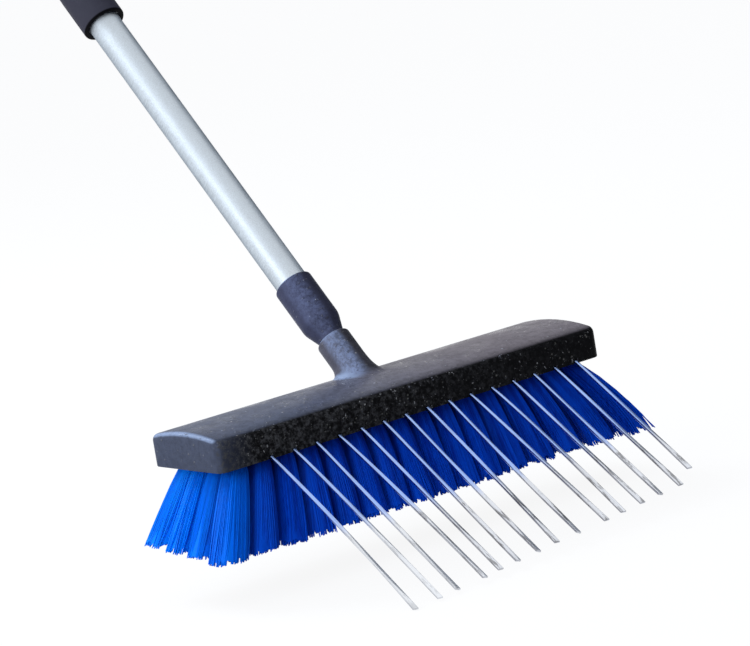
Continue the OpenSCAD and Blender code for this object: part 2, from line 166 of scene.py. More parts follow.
@dataclass(frozen=True)
class Block:
    """Outer sizes of the casing's block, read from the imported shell."""

    half_length: float
    half_width: float
    low: float
    edge: float
    crown: float
    corner: float

    @classmethod
    def measured(cls, clear_of_neck: float = 0.6) -> "Block":
        """Measures the block at its ends.

        Args:
            clear_of_neck: Share of the half length past which the neck isn't in the way.

        Returns:
            The block.
        """
        co = node_points("head_shell")
        half_length = co[:, 0].max()
        half_width = -co[:, 1].min()
        ends = co[np.abs(co[:, 0]) > clear_of_neck * half_length]
        rim = ends[ends[:, 1] < SLACK - half_width]
        corner = half_length - rim[:, 0].max()
        return cls(half_length, half_width, ends[:, 2].min(), rim[:, 2].max(), ends[:, 2].max(), corner)

    @property
    def crown_radius(self) -> float:
        """Radius of the arch across the block's top."""
        rise = self.crown - self.edge
        return (self.half_width**2 + rise**2) / (2 * rise)

    def top(self, y: float, sink: float = 0.0) -> float:
        """Height of the arched top.

        Args:
            y: Distance from the block's middle.
            sink: Depth of a second arch below the top, square to it.

        Returns:
            The height at y.
        """
        radius = self.crown_radius - sink
        return self.crown - self.crown_radius + math.sqrt(radius**2 - y * y)


@dataclass(frozen=True)
class HandleAxis:
    """The handle's centre line. s is measured up it from the height of the block's crown."""

    origin: Vector
    along: Vector
    across: Vector
    front: Vector

    @classmethod
    def measured(cls, block: Block) -> "HandleAxis":
        """Reads the line from the collar's joint.

        Args:
            block: The block that the line starts from.

        Returns:
            The handle's axis.
        """
        joint = next(j for j in frame["joints"] if j["name"] == "collar_turn")
        along = Vector(joint["axis"]).normalized()
        pivot = Vector(joint["pos_m"])
        origin = pivot + along * ((block.crown - pivot.z) / along.z)
        across = Vector((1, 0, 0))
        return cls(origin, along, across, across.cross(along))

    def point(self, s: float, radius: float = 0.0, angle: float = 0.0) -> Vector:
        """Gives a point on a ring around the axis.

        Args:
            s: Distance up the axis.
            radius: Radius of the ring.
            angle: Angle in radians from +X towards the side that faces up and to the tines.

        Returns:
            The point in the frame.
        """
        spoke = self.across * math.cos(angle) + self.front * math.sin(angle)
        return self.origin + self.along * s + spoke * radius

    def spread(self, node: str) -> tuple[np.ndarray, np.ndarray]:
        """Gives each corner of a node as a distance up the axis and a radius.

        Args:
            node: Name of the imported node.

        Returns:
            The distances and the radii.
        """
        offset = node_points(node) - np.array(self.origin)
        along = np.array(self.along)
        s = offset @ along
        return s, np.linalg.norm(offset - np.outer(s, along), axis=1)

    def span(self, node: str) -> Range:
        """Gives the lowest and highest place of a node along the axis."""
        s, _ = self.spread(node)
        return float(s.min()), float(s.max())

    def radius(self, node: str) -> float:
        """Gives the largest radius of a node around the axis."""
        return float(self.spread(node)[1].max())


# ---------------------------------------------------------------- meshes


def curve(start: Vector, middle: Vector, end: Vector, t: float) -> Vector:
    """Gives a point of the curve that leaves one point towards a middle one and ends at the last.

    Args:
        start: Where the curve starts.
        middle: The point that it bends towards.
        end: Where it ends.
        t: How far along it the point lies, from 0 to 1.

    Returns:
        The point.
    """
    return start * (1 - t) ** 2 + middle * 2 * t * (1 - t) + end * t * t


def soften(corners: Sequence[Corner], closed: bool = False, steps: int = 5) -> list[Point2]:
    """Rounds the corners of an outline.

    Args:
        corners: Each corner's two coordinates and how far from it its round starts.
        closed: Whether the last corner joins the first.
        steps: Number of pieces in each round.

    Returns:
        The points of the rounded outline.
    """
    count = len(corners)
    points: list[Point2] = []
    for i, (x, y, cut) in enumerate(corners):
        here = Vector((x, y))
        if cut <= 0 or (not closed and i in (0, count - 1)):
            points.append((x, y))
            continue
        before = Vector(corners[i - 1][:2]) - here
        after = Vector(corners[(i + 1) % count][:2]) - here
        reach = min(cut, before.length / 2, after.length / 2)
        start, end = here + before.normalized() * reach, here + after.normalized() * reach
        points += [tuple(curve(start, here, end, k / steps)) for k in range(steps + 1)]
    return points


@dataclass
class Shape:
    """Points and faces of a piece while it is being made."""

    points: list[Vector] = field(default_factory=list)
    faces: list[tuple[int, ...]] = field(default_factory=list)

    def ring(self, points: Iterable[Vector]) -> list[int]:
        """Adds points to the shape.

        Args:
            points: The points, in order around the ring.

        Returns:
            Their numbers.
        """
        start = len(self.points)
        self.points.extend(points)
        return list(range(start, len(self.points)))

    def bridge(self, lower: Sequence[int], upper: Sequence[int]) -> None:
        """Joins two closed rings with a band of faces.

        Args:
            lower: The first ring.
            upper: The second ring, with as many points.
        """
        count = len(lower)
        for i in range(count):
            j = (i + 1) % count
            self.faces.append((lower[i], lower[j], upper[j], upper[i]))

    def cap(self, ring: Sequence[int]) -> None:
        """Closes a ring with one flat face."""
        self.faces.append(tuple(ring))

    def loft(self, rings: Sequence[Sequence[int]], closed: bool = False) -> None:
        """Joins a row of rings.

        Args:
            rings: The rings in order.
            closed: Whether the last ring joins the first. If not, both ends are capped.
        """
        for lower, upper in zip(rings, rings[1:]):
            self.bridge(lower, upper)
        if closed:
            self.bridge(rings[-1], rings[0])
        else:
            self.cap(rings[0])
            self.cap(rings[-1])

    def join(self, other: "Shape") -> None:
        """Takes in the points and faces of another shape.

        Args:
            other: The shape that is taken in.
        """
        start = len(self.points)
        self.points.extend(other.points)
        self.faces.extend(tuple(start + i for i in face) for face in other.faces)

    def build(self, name: str, sharp_above: float = 34.0) -> bpy.types.Object:
        """Makes the Blender object.

        Args:
            name: Name of the piece.
            sharp_above: Angle in degrees above which an edge stays sharp.

        Returns:
            The linked object.
        """
        mesh = bpy.data.meshes.new(name)
        mesh.from_pydata([tuple(p) for p in self.points], [], self.faces)
        bm = bmesh.new()
        bm.from_mesh(mesh)
        bmesh.ops.recalc_face_normals(bm, faces=bm.faces)
        bm.to_mesh(mesh)
        bm.free()
        piece = bpy.data.objects.new(name, mesh)
        bpy.context.scene.collection.objects.link(piece)
        smooth(piece, sharp_above)
        return piece


def smooth(piece: bpy.types.Object, sharp_above: float = 34.0) -> None:
    """Shades a piece smooth and keeps its sharp edges.

    Args:
        piece: The piece to shade.
        sharp_above: Angle in degrees above which an edge stays sharp.
    """
    mesh = piece.data
    mesh.polygons.foreach_set("use_smooth", [True] * len(mesh.polygons))
    mesh.set_sharp_from_angle(angle=math.radians(sharp_above))
    mesh.update()


def cut_away(target: bpy.types.Object, tool: bpy.types.Object) -> None:
    """Cuts a tool away from a piece and removes the tool.

    Args:
        target: The piece that is cut.
        tool: The solid that is used up.
    """
    modifier = target.modifiers.new("cut", "BOOLEAN")
    modifier.operation = "DIFFERENCE"
    modifier.solver = "EXACT"
    modifier.object = tool
    depsgraph = bpy.context.evaluated_depsgraph_get()
    result = bpy.data.meshes.new_from_object(target.evaluated_get(depsgraph))
    target.modifiers.clear()
    old, target.data = target.data, result
    bpy.data.meshes.remove(old)
    bpy.data.objects.remove(tool)


def lathe(axis: HandleAxis, profile: Sequence[Point2], segments: int = 96, closed: bool = False) -> Shape:
    """Turns a profile around the handle's axis.

    Args:
        axis: The line to turn around.
        profile: Pairs of a distance up the axis and a radius.
        segments: Number of faces around.
        closed: Whether the profile is a closed loop, as a tube's is.

    Returns:
        The turned shape.
    """
    shape = Shape()
    angles = [2 * math.pi * k / segments for k in range(segments)]
    rings = [shape.ring(axis.point(s, radius, angle) for angle in angles) for s, radius in profile]
    shape.loft(rings, closed)
    return shape


# ---------------------------------------------------------------- shader trees


class Places(Enum):
    """Kinds of places that patterns are read at."""

    ON_PIECE = "Object"
    IN_THE_SKY = "Generated"


class Axis(Enum):
    """Directions of the frame."""

    X = "X"
    Y = "Y"
    Z = "Z"


class Rule(Enum):
    """Ways to combine two numbers."""

    PLUS = "ADD"
    LESS = "SUBTRACT"
    TIMES = "MULTIPLY"
    LARGER = "MAXIMUM"


@dataclass(frozen=True)
class Noise:
    """Recipe of a soft noise: waves in a metre, or in a unit of its places, and its finer layers."""

    waves: float
    layers: float = 3.0
    contrast: float = 0.5


class Graph:
    """A shader's nodes, with short names for those that the finishes and the surroundings share."""

    def __init__(self, owner: bpy.types.Material | bpy.types.World, places: Places) -> None:
        """Starts a graph.

        Args:
            owner: The material or world that is drawn.
            places: The kind of places that its patterns are read at.
        """
        owner.use_nodes = True
        self.owner = owner
        self.nodes = owner.node_tree.nodes
        self.links = owner.node_tree.links
        outputs = self.nodes.new("ShaderNodeTexCoord").outputs
        self.place = outputs[places.value]
        self.outward = outputs["Normal"]

    @classmethod
    def material(cls, name: str) -> "Graph":
        """Starts a material's graph."""
        return cls(bpy.data.materials.new(name), Places.ON_PIECE)

    def feed(self, socket: Socket, value: Value) -> None:
        """Links a socket to an output, or sets it to a plain value.

        Args:
            socket: The socket that is fed.
            value: An output, a number, a colour or a direction.
        """
        if isinstance(value, Socket):
            self.links.new(value, socket)
        elif isinstance(value, tuple) and len(value) == 3 and socket.type == "RGBA":
            socket.default_value = (*value, 1.0)
        else:
            socket.default_value = value

    def put(self, socket: str, value: Value) -> None:
        """Sets or links one of the surface shader's sockets."""
        self.feed(self.nodes["Principled BSDF"].inputs[socket], value)

    def vectors(self, operation: str, first: Value, second: Value, result: str = "Vector") -> Socket:
        """Combines two directions or places.

        Args:
            operation: Blender's name of what is done.
            first: The first of them.
            second: The second of them.
            result: Name of the output that is wanted.

        Returns:
            That output.
        """
        node = self.nodes.new("ShaderNodeVectorMath")
        node.operation = operation
        self.feed(node.inputs[0], first)
        self.feed(node.inputs[1], second)
        return node.outputs[result]

    def facing(self, vector: Socket, direction: Sequence[float]) -> Socket:
        """Tells how far a vector agrees with a fixed direction, from -1 to 1."""
        return self.vectors("DOT_PRODUCT", vector, tuple(Vector(direction).normalized()), "Value")

    def moved(self, offset: Triple) -> Socket:
        """Gives places on the piece, moved by an offset in metres."""
        return self.vectors("ADD", self.place, offset)

    def stretched(self, scale: Triple, turn: float = 0.0) -> Socket:
        """Gives places on the piece, turned and stretched.

        Args:
            scale: Scale along each turned axis.
            turn: Turn about X in degrees, made before the stretch.

        Returns:
            The vector output.
        """
        rotate = self.nodes.new("ShaderNodeVectorRotate")
        rotate.rotation_type = "X_AXIS"
        self.feed(rotate.inputs["Vector"], self.place)
        self.feed(rotate.inputs["Angle"], math.radians(turn))
        return self.vectors("MULTIPLY", rotate.outputs["Vector"], scale)

    def seen(self) -> Socket:
        """Tells whether something looks at the place: the camera, a reflection or a clear part.

        Returns:
            1 if so, else 0.
        """
        path = self.nodes.new("ShaderNodeLightPath").outputs
        mirrored = self.larger(path["Is Glossy Ray"], path["Is Transmission Ray"])
        return self.larger(path["Is Camera Ray"], mirrored)

    def noise(self, recipe: Noise, places: Socket | None = None) -> Socket:
        """Adds soft noise from 0 to 1.

        Args:
            recipe: The noise's size and strength.
            places: Places to read it at, or None for the piece's own.

        Returns:
            The noise.
        """
        node = self.nodes.new("ShaderNodeTexNoise")
        self.feed(node.inputs["Vector"], places or self.place)
        self.feed(node.inputs["Scale"], recipe.waves)
        self.feed(node.inputs["Detail"], recipe.layers)
        self.feed(node.inputs["Roughness"], recipe.contrast)
        return node.outputs["Fac"]

    def cells(self, waves: float) -> tuple[Socket, Socket]:
        """Adds a cell pattern.

        Args:
            waves: Number of cells in a metre.

        Returns:
            The distance to the nearest cell's middle, and that cell's own random colour.
        """
        node = self.nodes.new("ShaderNodeTexVoronoi")
        self.feed(node.inputs["Vector"], self.place)
        self.feed(node.inputs["Scale"], waves)
        return node.outputs["Distance"], node.outputs["Color"]

    def attribute(self, name: str) -> Socket:
        """Reads a number stored on the mesh.

        Args:
            name: Name of the mesh's attribute.

        Returns:
            The number.
        """
        node = self.nodes.new("ShaderNodeAttribute")
        node.attribute_name = name
        return node.outputs["Fac"]

    def remap(self, value: Value, span: Range, result: Range = (0.0, 1.0)) -> Socket:
        """Spreads a range of values smoothly over another.

        Args:
            value: The output to spread.
            span: The values that become the two results.
            result: What they become, and stay beyond them.

        Returns:
            The spread value.
        """
        node = self.nodes.new("ShaderNodeMapRange")
        node.interpolation_type = "SMOOTHSTEP"
        self.feed(node.inputs["Value"], value)
        for name, number in zip(("From Min", "From Max", "To Min", "To Max"), (*span, *result)):
            self.feed(node.inputs[name], number)
        return node.outputs["Result"]

    def turned(self, direction: Triple, span: Range, result: Range = (0.0, 1.0)) -> Socket:
        """Spreads how far the surface faces a direction over another range."""
        return self.remap(self.facing(self.outward, direction), span, result)

    def along(self, axis: Axis, span: Range, result: Range = (0.0, 1.0)) -> Socket:
        """Spreads one coordinate of the place over another range.

        Args:
            axis: The coordinate.
            span: The coordinates in metres that become the two results.
            result: What they become, and stay beyond them.

        Returns:
            The spread value.
        """
        node = self.nodes.new("ShaderNodeSeparateXYZ")
        self.feed(node.inputs["Vector"], self.place)
        return self.remap(node.outputs[axis.value], span, result)

    def combine(self, rule: Rule, first: Value, second: Value) -> Socket:
        """Combines two numbers.

        Args:
            rule: What is done with them.
            first: The first number.
            second: The second number.

        Returns:
            The result.
        """
        node = self.nodes.new("ShaderNodeMath")
        node.operation = rule.value
        self.feed(node.inputs[0], first)
        self.feed(node.inputs[1], second)
        return node.outputs["Value"]

    def times(self, first: Value, second: Value) -> Socket:
        """Multiplies two numbers."""
        return self.combine(Rule.TIMES, first, second)

    def larger(self, first: Value, second: Value) -> Socket:
        """Gives the larger of two numbers."""
        return self.combine(Rule.LARGER, first, second)

    def blend(self, share: Value, first: Value, second: Value) -> Socket:
        """Mixes two colours.

        Args:
            share: Share of the second colour, from 0 to 1.
            first: The first colour.
            second: The second colour.

        Returns:
            The mixed colour.
        """
        node = self.nodes.new("ShaderNodeMix")
        node.data_type = "RGBA"
        colour_inputs = [socket for socket in node.inputs if socket.type == "RGBA"]
        self.feed(node.inputs["Factor"], share)
        for socket, colour in zip(colour_inputs, (first, second)):
            self.feed(socket, colour)
        return next(socket for socket in node.outputs if socket.type == "RGBA")

    def bump(self, height: Socket, strength: float, distance: float, under: Socket | None = None) -> Socket:
        """Raises the surface by a height map.

        Args:
            height: The height output, from 0 to 1.
            strength: Share of the effect.
            distance: Real height in metres of a value of 1.
            under: Another bump below this one.

        Returns:
            The normal output.
        """
        node = self.nodes.new("ShaderNodeBump")
        self.feed(node.inputs["Height"], height)
        self.feed(node.inputs["Strength"], strength)
        self.feed(node.inputs["Distance"], distance)
        if under:
            self.feed(node.inputs["Normal"], under)
        return node.outputs["Normal"]


# ---------------------------------------------------------------- finishes


@dataclass(frozen=True)
class Finish:
    """A surface finish and the name of its slot in the record."""

    name: str
    slot: str
    colour: Colour
    roughness: float

    def make(self) -> bpy.types.Material:
        """Gives the finish's material, made once.

        Returns:
            The material.
        """
        found = bpy.data.materials.get(self.name)
        if found:
            return found
        tree = Graph.material(self.name)
        self.dress(tree)
        return tree.owner

    def between(self, smoother: float, duller: float) -> Range:
        """Gives the roughness of the smoothest and the dullest places."""
        return self.roughness - smoother, self.roughness + duller

    def shaded(self, factor: float) -> Colour:
        """Gives the colour made darker or brighter, at most white."""
        return tuple(min(1.0, c * factor) for c in self.colour)

    def dress(self, tree: Graph) -> None:
        """Fills the node tree. Each kind of finish has its own way."""
        raise NotImplementedError

    def apply(self, piece: bpy.types.Object) -> None:
        """Covers a piece with the finish.

        Args:
            piece: The piece to cover.
        """
        piece.data.materials.clear()
        piece.data.materials.append(self.make())


@dataclass(frozen=True)
class WetPlastic(Finish):
    """Dark grained plastic: a sprayed layer that carries painted sheen where it faces up and left, painted
    highlights on the neck and the rounded edges, drops with painted glints, beads, and flecks that are dirt
    specks and painted glints.
    """

    # Sprayed layer with painted sheen, from here to neck_share: faces that look up and left, the left end
    # and the neck take lighter colours, mottled and bluer at the left; the top's share fades towards the
    # front edge.
    mottle_noise: Noise = Noise(190, 5, 0.78)
    mottle_span: Range = (0.38, 0.58)
    mottle_share: float = 0.7
    calm_span: Range = (0.36, 0.6)
    calm_share: float = 0.78
    film_and_sheen_left: Colour = (0.067, 0.077, 0.115)
    film_and_sheen_right: Colour = (0.14, 0.12, 0.132)
    film_and_sheen_spread: float = 120 * MM
    above_span: Range = (0.7, 0.96)
    front_fade_y: Range = (-43 * MM, -28 * MM)
    front_fade_share: float = 0.5
    beside_span: Range = (0.05, 0.75)
    beside_share: float = 0.93
    end_x: Range = (-172 * MM, -140 * MM)
    end_share: float = 0.5
    neck_z: Range = (89 * MM, 95 * MM)
    neck_share: float = 0.42
    # Painted highlight along the rounded edges that face up and to the left.
    edge_side: Triple = (-0.6, 0.1, 0.79)
    edge_span: Range = (0.8, 0.99)
    edge_sheen: Colour = (0.2, 0.25, 0.37)
    # Painted sheen on the neck: the side that faces left and to the tines, above the crown, mottled.
    neck_side: Triple = (-0.58, -0.6, 0.47)
    neck_span: Range = (0.7, 1.0)
    neck_sheen: Colour = (0.2, 0.24, 0.37)
    sheen_z: Range = (83.5 * MM, 87 * MM)
    sheen_mottle: Noise = Noise(260, 5, 0.8)
    sheen_mottle_span: Range = (0.36, 0.62)
    sheen_mottle_least: float = 0.3
    front_span: Range = (0.2, 0.9)
    grime: Noise = Noise(320, 5, 0.72)
    grime_span: Range = (0.42, 0.68)
    # Colour of the grime smears on the side that faces the tines.
    grime_and_shade_colour: Colour = (0.062, 0.061, 0.062)
    grime_spread: float = 170 * MM
    grime_least: float = 0.12
    # Bright flecks: dirt specks and painted glints of water.
    flecks: Noise = Noise(330, 4, 0.75)
    fleck_span: Range = (0.62, 0.68)
    fleck_colour: Colour = (0.34, 0.33, 0.32)
    fleck_share: float = 0.9
    fleck_least: float = 0.12
    clusters: Noise = Noise(30, 3)
    cluster_span: Range = (0.4, 0.56)
    cluster_least: float = 0.3
    specks: Noise = Noise(280, 3, 0.7)
    drop_side: Range = (0.1, 0.6)
    drop_span: Range = (0.61, 0.67)
    drop_share: float = 0.55
    drop_colour: Colour = (0.022, 0.022, 0.026)
    # A painted glint beside each drop.
    glint_span: Range = (0.67, 0.72)
    glint_colour: Colour = (0.5, 0.52, 0.6)
    glint_shift: Triple = (1.0 * MM, -0.9 * MM, 0.0)
    patches: Noise = Noise(24, 5, 0.6)
    bead_patch: Range = (0.4, 0.5)
    bead_waves: float = 380.0
    bead_reach: Range = (0.1, 0.42)
    bead_height: float = 0.6 * MM
    bead_share: float = 0.2
    bead_fade: float = 0.04
    grain: Noise = Noise(1300, 2)
    grain_strength: float = 0.6
    grain_height: float = 0.1 * MM
    dry_span: Range = (0.42, 0.62)
    duller: float = 0.06
    smoother: float = 0.08
    wet_roughness: float = 0.1
    gloss: float = 0.022

    def film_and_sheen(self, tree: Graph) -> Socket:
        """Mottles the sprayed layer's painted sheen over the base colour where it faces up and left, at the
        left end and on the neck, then paints highlights on the neck's side and the rounded edges.

        Args:
            tree: The material's graph.

        Returns:
            The colour with its painted sheen and highlights.
        """
        # Painted sheen: lighter colour on the faces that look up and left, at the left end and on the neck.
        mottle_noise = tree.noise(self.mottle_noise)
        mottle = tree.remap(mottle_noise, self.mottle_span, (self.mottle_share, 1.0))
        calm = tree.remap(mottle_noise, self.calm_span, (self.calm_share, 1.0))
        # The top's painted sheen fades towards the front edge.
        front_fade = tree.along(Axis.Y, self.front_fade_y, (self.front_fade_share, 1.0))
        above = tree.times(tree.turned(UP, self.above_span), front_fade)
        beside = tree.turned(LEFT, self.beside_span, (0.0, self.beside_share))
        near_end = tree.along(Axis.X, self.end_x, (self.end_share, 0.0))
        on_neck = tree.along(Axis.Z, self.neck_z, (0.0, self.neck_share))
        speckled = tree.times(tree.larger(above, on_neck), mottle)
        even = tree.times(tree.larger(beside, near_end), calm)
        across = tree.along(Axis.X, (-self.film_and_sheen_spread, self.film_and_sheen_spread))
        tone = tree.blend(across, self.film_and_sheen_left, self.film_and_sheen_right)
        filmed_and_sheened = tree.blend(tree.larger(speckled, even), self.colour, tone)
        # Painted sheen on the neck.
        on_side = tree.times(tree.turned(self.neck_side, self.neck_span), tree.along(Axis.Z, self.sheen_z))
        sheen_mottle = tree.remap(tree.noise(self.sheen_mottle), self.sheen_mottle_span, (self.sheen_mottle_least, 1.0))
        filmed_and_sheened = tree.blend(tree.times(on_side, sheen_mottle), filmed_and_sheened, self.neck_sheen)
        # Painted highlight along the rounded edges.
        edge = tree.turned(self.edge_side, self.edge_span)
        return tree.blend(tree.times(edge, calm), filmed_and_sheened, self.edge_sheen)

    def dirt(self, tree: Graph, clean: Socket) -> Socket:
        """Puts grime and clustered flecks on the side that faces the tines, and few flecks elsewhere; the
        bright flecks are dirt specks and painted glints of water.

        Args:
            tree: The material's graph.
            clean: The colour below.

        Returns:
            The dirty colour.
        """
        front = tree.turned(FRONT, self.front_span)
        fade = tree.along(Axis.X, (-self.grime_spread, self.grime_spread), (1.0, self.grime_least))
        smears = tree.remap(tree.noise(self.grime), self.grime_span)
        grime = tree.times(smears, tree.times(front, fade))
        clusters = tree.remap(tree.noise(self.clusters), self.cluster_span, (self.cluster_least, 1.0))
        share = tree.times(clusters, tree.larger(front, self.fleck_least))
        # Flecks: dirt specks and painted glints.
        spots = tree.remap(tree.noise(self.flecks), self.fleck_span)
        flecks = tree.times(tree.times(spots, share), self.fleck_share)
        return tree.blend(flecks, tree.blend(grime, clean, self.grime_and_shade_colour), self.fleck_colour)

    def drops(self, tree: Graph, dry: Socket) -> Socket:
        """Scatters water drops where the surface faces up: a dark spot with a painted glint beside it.

        Args:
            tree: The material's graph.
            dry: The colour below.

        Returns:
            The colour with drops.
        """
        upward = tree.times(tree.turned(UP, self.drop_side), self.drop_share)
        spots = tree.remap(tree.noise(self.specks), self.drop_span)
        # Painted glint beside each dark spot.
        beside = tree.remap(tree.noise(self.specks, tree.moved(self.glint_shift)), self.glint_span)
        spotted = tree.blend(tree.times(spots, upward), dry, self.drop_colour)
        return tree.blend(tree.times(beside, upward), spotted, self.glint_colour)

    def dress(self, tree: Graph) -> None:
        """Lays grain, the sprayed layer with its painted sheen, dirt, drops with painted glints and beads
        over the dark base.

        Args:
            tree: The material's graph.
        """
        patches = tree.noise(self.patches)
        distance, seed = tree.cells(self.bead_waves)
        chosen = tree.remap(seed, (1 - self.bead_share, 1 - self.bead_share + self.bead_fade))
        dome = tree.times(tree.remap(distance, self.bead_reach, (1.0, 0.0)), chosen)
        bead = tree.times(dome, tree.remap(patches, self.bead_patch))
        smooth_wet, dull_dry = self.between(self.smoother, self.duller)
        dry = tree.remap(patches, self.dry_span, (dull_dry, smooth_wet))
        grain = tree.bump(tree.noise(self.grain), self.grain_strength, self.grain_height)
        tree.put("Base Color", self.drops(tree, self.dirt(tree, self.film_and_sheen(tree))))
        tree.put("Roughness", tree.larger(tree.combine(Rule.LESS, dry, bead), self.wet_roughness))
        tree.put("Specular IOR Level", self.gloss)
        tree.put("Coat Weight", bead)
        tree.put("Coat Roughness", self.wet_roughness)
        tree.put("Normal", tree.bump(bead, 1.0, self.bead_height, grain))


@dataclass(frozen=True)
class MouldedPlastic(Finish):
    """Plain moulded plastic with fine grain, handling marks and, where its share is set, painted shade on
    the side that faces down the handle.
    """

    patches: Noise = Noise(45, 4, 0.6)
    mark_span: Range = (0.5, 0.68)
    mark_colour: Colour = (0.16, 0.16, 0.18)
    mark_share: float = 0.25
    # Painted shade on the side that faces down the handle.
    low_side: Triple = (0.0, -0.695, -0.719)
    low_span: Range = (0.1, 0.6)
    low_shade: float = 0.0
    grime_and_shade_colour: Colour = (0.002, 0.002, 0.002)
    worn_span: Range = (0.35, 0.65)
    smoother: float = 0.08
    duller: float = 0.1
    grain: Noise = Noise(1800, 2)
    grain_strength: float = 0.5
    grain_height: float = 0.04 * MM
    gloss: float = 0.2

    def dress(self, tree: Graph) -> None:
        """Rubs patches bright and smooth, paints shade on the side that faces down the handle and adds
        grain.

        Args:
            tree: The material's graph.
        """
        patches = tree.noise(self.patches)
        rubbed = tree.times(tree.remap(patches, self.mark_span), self.mark_share)
        low = tree.turned(self.low_side, self.low_span, (0.0, self.low_shade))
        worn = self.between(self.smoother, self.duller)
        marked = tree.blend(rubbed, self.colour, self.mark_colour)
        # Painted shade on the side that faces down the handle.
        tree.put("Base Color", tree.blend(low, marked, self.grime_and_shade_colour))
        tree.put("Roughness", tree.remap(patches, self.worn_span, worn))
        tree.put("Specular IOR Level", self.gloss)
        tree.put("Normal", tree.bump(tree.noise(self.grain), self.grain_strength, self.grain_height))


@dataclass(frozen=True)
class Filament(Finish):
    """Coloured synthetic filament, whose tone differs by strand, with painted shade near the block and
    painted light that makes the tufts at the left end paler.
    """

    streaks: Noise = Noise(1.0, 2)
    streak_waves: Triple = (420.0, 420.0, 30.0)
    streak_share: float = 0.4
    streak_span: Range = (0.3, 0.7)
    tone_span: Range = (0.15, 0.65)
    shade_colour: Colour = (0.0, 0.02, 0.28)
    # Painted light: the tufts at the left end take these lighter colours.
    lit_colour: Colour = (0.0, 0.2, 0.88)
    lit_deep_colour: Colour = (0.0, 0.13, 0.7)
    smoother: float = 0.06
    duller: float = 0.1
    gloss: float = 0.04

    def dress(self, tree: Graph) -> None:
        """Mixes the tones by the strand's own tone with its painted shade, by fine streaks and by how much
        painted light its tuft gets.

        Args:
            tree: The material's graph.
        """
        streak = tree.noise(self.streaks, tree.stretched(self.streak_waves))
        own = tree.times(tree.attribute("tone"), 1 - self.streak_share)
        tone = tree.combine(Rule.PLUS, own, tree.times(streak, self.streak_share))
        share = tree.remap(tone, self.tone_span)
        deep = tree.blend(share, self.shade_colour, self.colour)
        pale = tree.blend(share, self.lit_deep_colour, self.lit_colour)
        worn = self.between(self.smoother, self.duller)
        # The pale attribute carries the painted light on the tufts at the left end.
        tree.put("Base Color", tree.blend(tree.attribute("pale"), deep, pale))
        tree.put("Roughness", tree.remap(streak, self.streak_span, worn))
        tree.put("Specular IOR Level", self.gloss)


@dataclass(frozen=True)
class Metal(Finish):
    """Bare metal with fine lines along one direction and spots of stain."""

    lines: Noise = Noise(1.0, 3)
    line_turn: float = 0.0
    line_waves: Triple = (2200.0, 14.0, 2200.0)
    line_strength: float = 0.4
    line_height: float = 0.02 * MM
    line_span: Range = (0.3, 0.7)
    broad: Noise = Noise(60, 4)
    brighter: float = 1.1
    darker: float = 0.84
    edge_tint: Colour = (1.0, 1.0, 1.0)
    stain_colour: Colour = (0.12, 0.115, 0.115)
    stain_share: float = 0.0
    stain_span: Range = (0.6, 0.68)
    smoother: float = 0.06
    duller: float = 0.08

    def surface(self, tree: Graph, lined: Socket) -> Socket:
        """Lays stains over the lined metal.

        Args:
            tree: The material's graph.
            lined: The lined metal's colour.

        Returns:
            The stained colour.
        """
        spots = tree.remap(tree.noise(self.broad), self.stain_span, (0.0, self.stain_share))
        return tree.blend(spots, lined, self.stain_colour)

    def dress(self, tree: Graph) -> None:
        """Draws fine lines along the metal and lays its stains over them.

        Args:
            tree: The material's graph.
        """
        lines = tree.noise(self.lines, tree.stretched(self.line_waves, self.line_turn))
        dark, bright = self.shaded(self.darker), self.shaded(self.brighter)
        lined = tree.blend(tree.remap(lines, self.line_span), dark, bright)
        smear = tree.times(tree.combine(Rule.PLUS, lines, tree.noise(self.broad)), 0.5)
        worn = self.between(self.smoother, self.duller)
        tree.put("Base Color", self.surface(tree, lined))
        tree.put("Metallic", 1.0)
        tree.put("Specular Tint", self.edge_tint)
        tree.put("Roughness", tree.remap(smear, self.line_span, worn))
        tree.put("Normal", tree.bump(lines, self.line_strength, self.line_height))


@dataclass(frozen=True)
class RakeSteel(Metal):
    """Tine steel with painted reflections: the tufts' blue near the block, painted light that makes it
    paler at the left, and dark reflections painted on its rolled edges.
    """

    # Painted reflection of the blue tufts on the tines near the block.
    tuft_reflection: Colour = (0.36, 0.52, 0.96)
    tuft_reflection_y: Range = (-123 * MM, -103 * MM)
    tuft_reflection_hold: float = 0.8
    # Painted light: the tines at the left are paler.
    lit_colour: Colour = (0.9, 0.93, 0.97)
    lit_x: Range = (-120 * MM, -30 * MM)
    lit_share: float = 0.65
    # Painted dark reflection along the rolled edges.
    edge_shade_colour: Colour = (0.36, 0.37, 0.41)
    streaks: Noise = Noise(1.0, 5, 0.7)
    streak_waves: Triple = (330.0, 55.0, 330.0)
    streak_span: Range = (0.5, 0.6)

    def surface(self, tree: Graph, lined: Socket) -> Socket:
        """Paints the tufts' blue reflection near the block and the light at the left over the lined steel,
        then paints dark reflections on its edges and streaks it.

        Args:
            tree: The material's graph.
            lined: The lined steel's colour.

        Returns:
            The finished colour.
        """
        near = tree.along(Axis.Y, self.tuft_reflection_y)
        pale = tree.along(Axis.X, self.lit_x, (self.lit_share, 0.0))
        far = tree.combine(Rule.LESS, 1.0, tree.larger(tree.times(near, self.tuft_reflection_hold), pale))
        streak = tree.noise(self.streaks, tree.stretched(self.streak_waves, self.line_turn))
        spots = tree.times(tree.remap(streak, self.streak_span, (0.0, self.stain_share)), far)
        # Painted reflection of the tufts near the block and painted light at the left.
        reflected_and_lit = tree.blend(near, tree.blend(pale, lined, self.lit_colour), self.tuft_reflection)
        # Painted dark reflection along the rolled edges, away from the block and the left end.
        rolled = tree.blend(tree.times(tree.attribute("edge"), far), reflected_and_lit, self.edge_shade_colour)
        return tree.blend(spots, rolled, self.stain_colour)


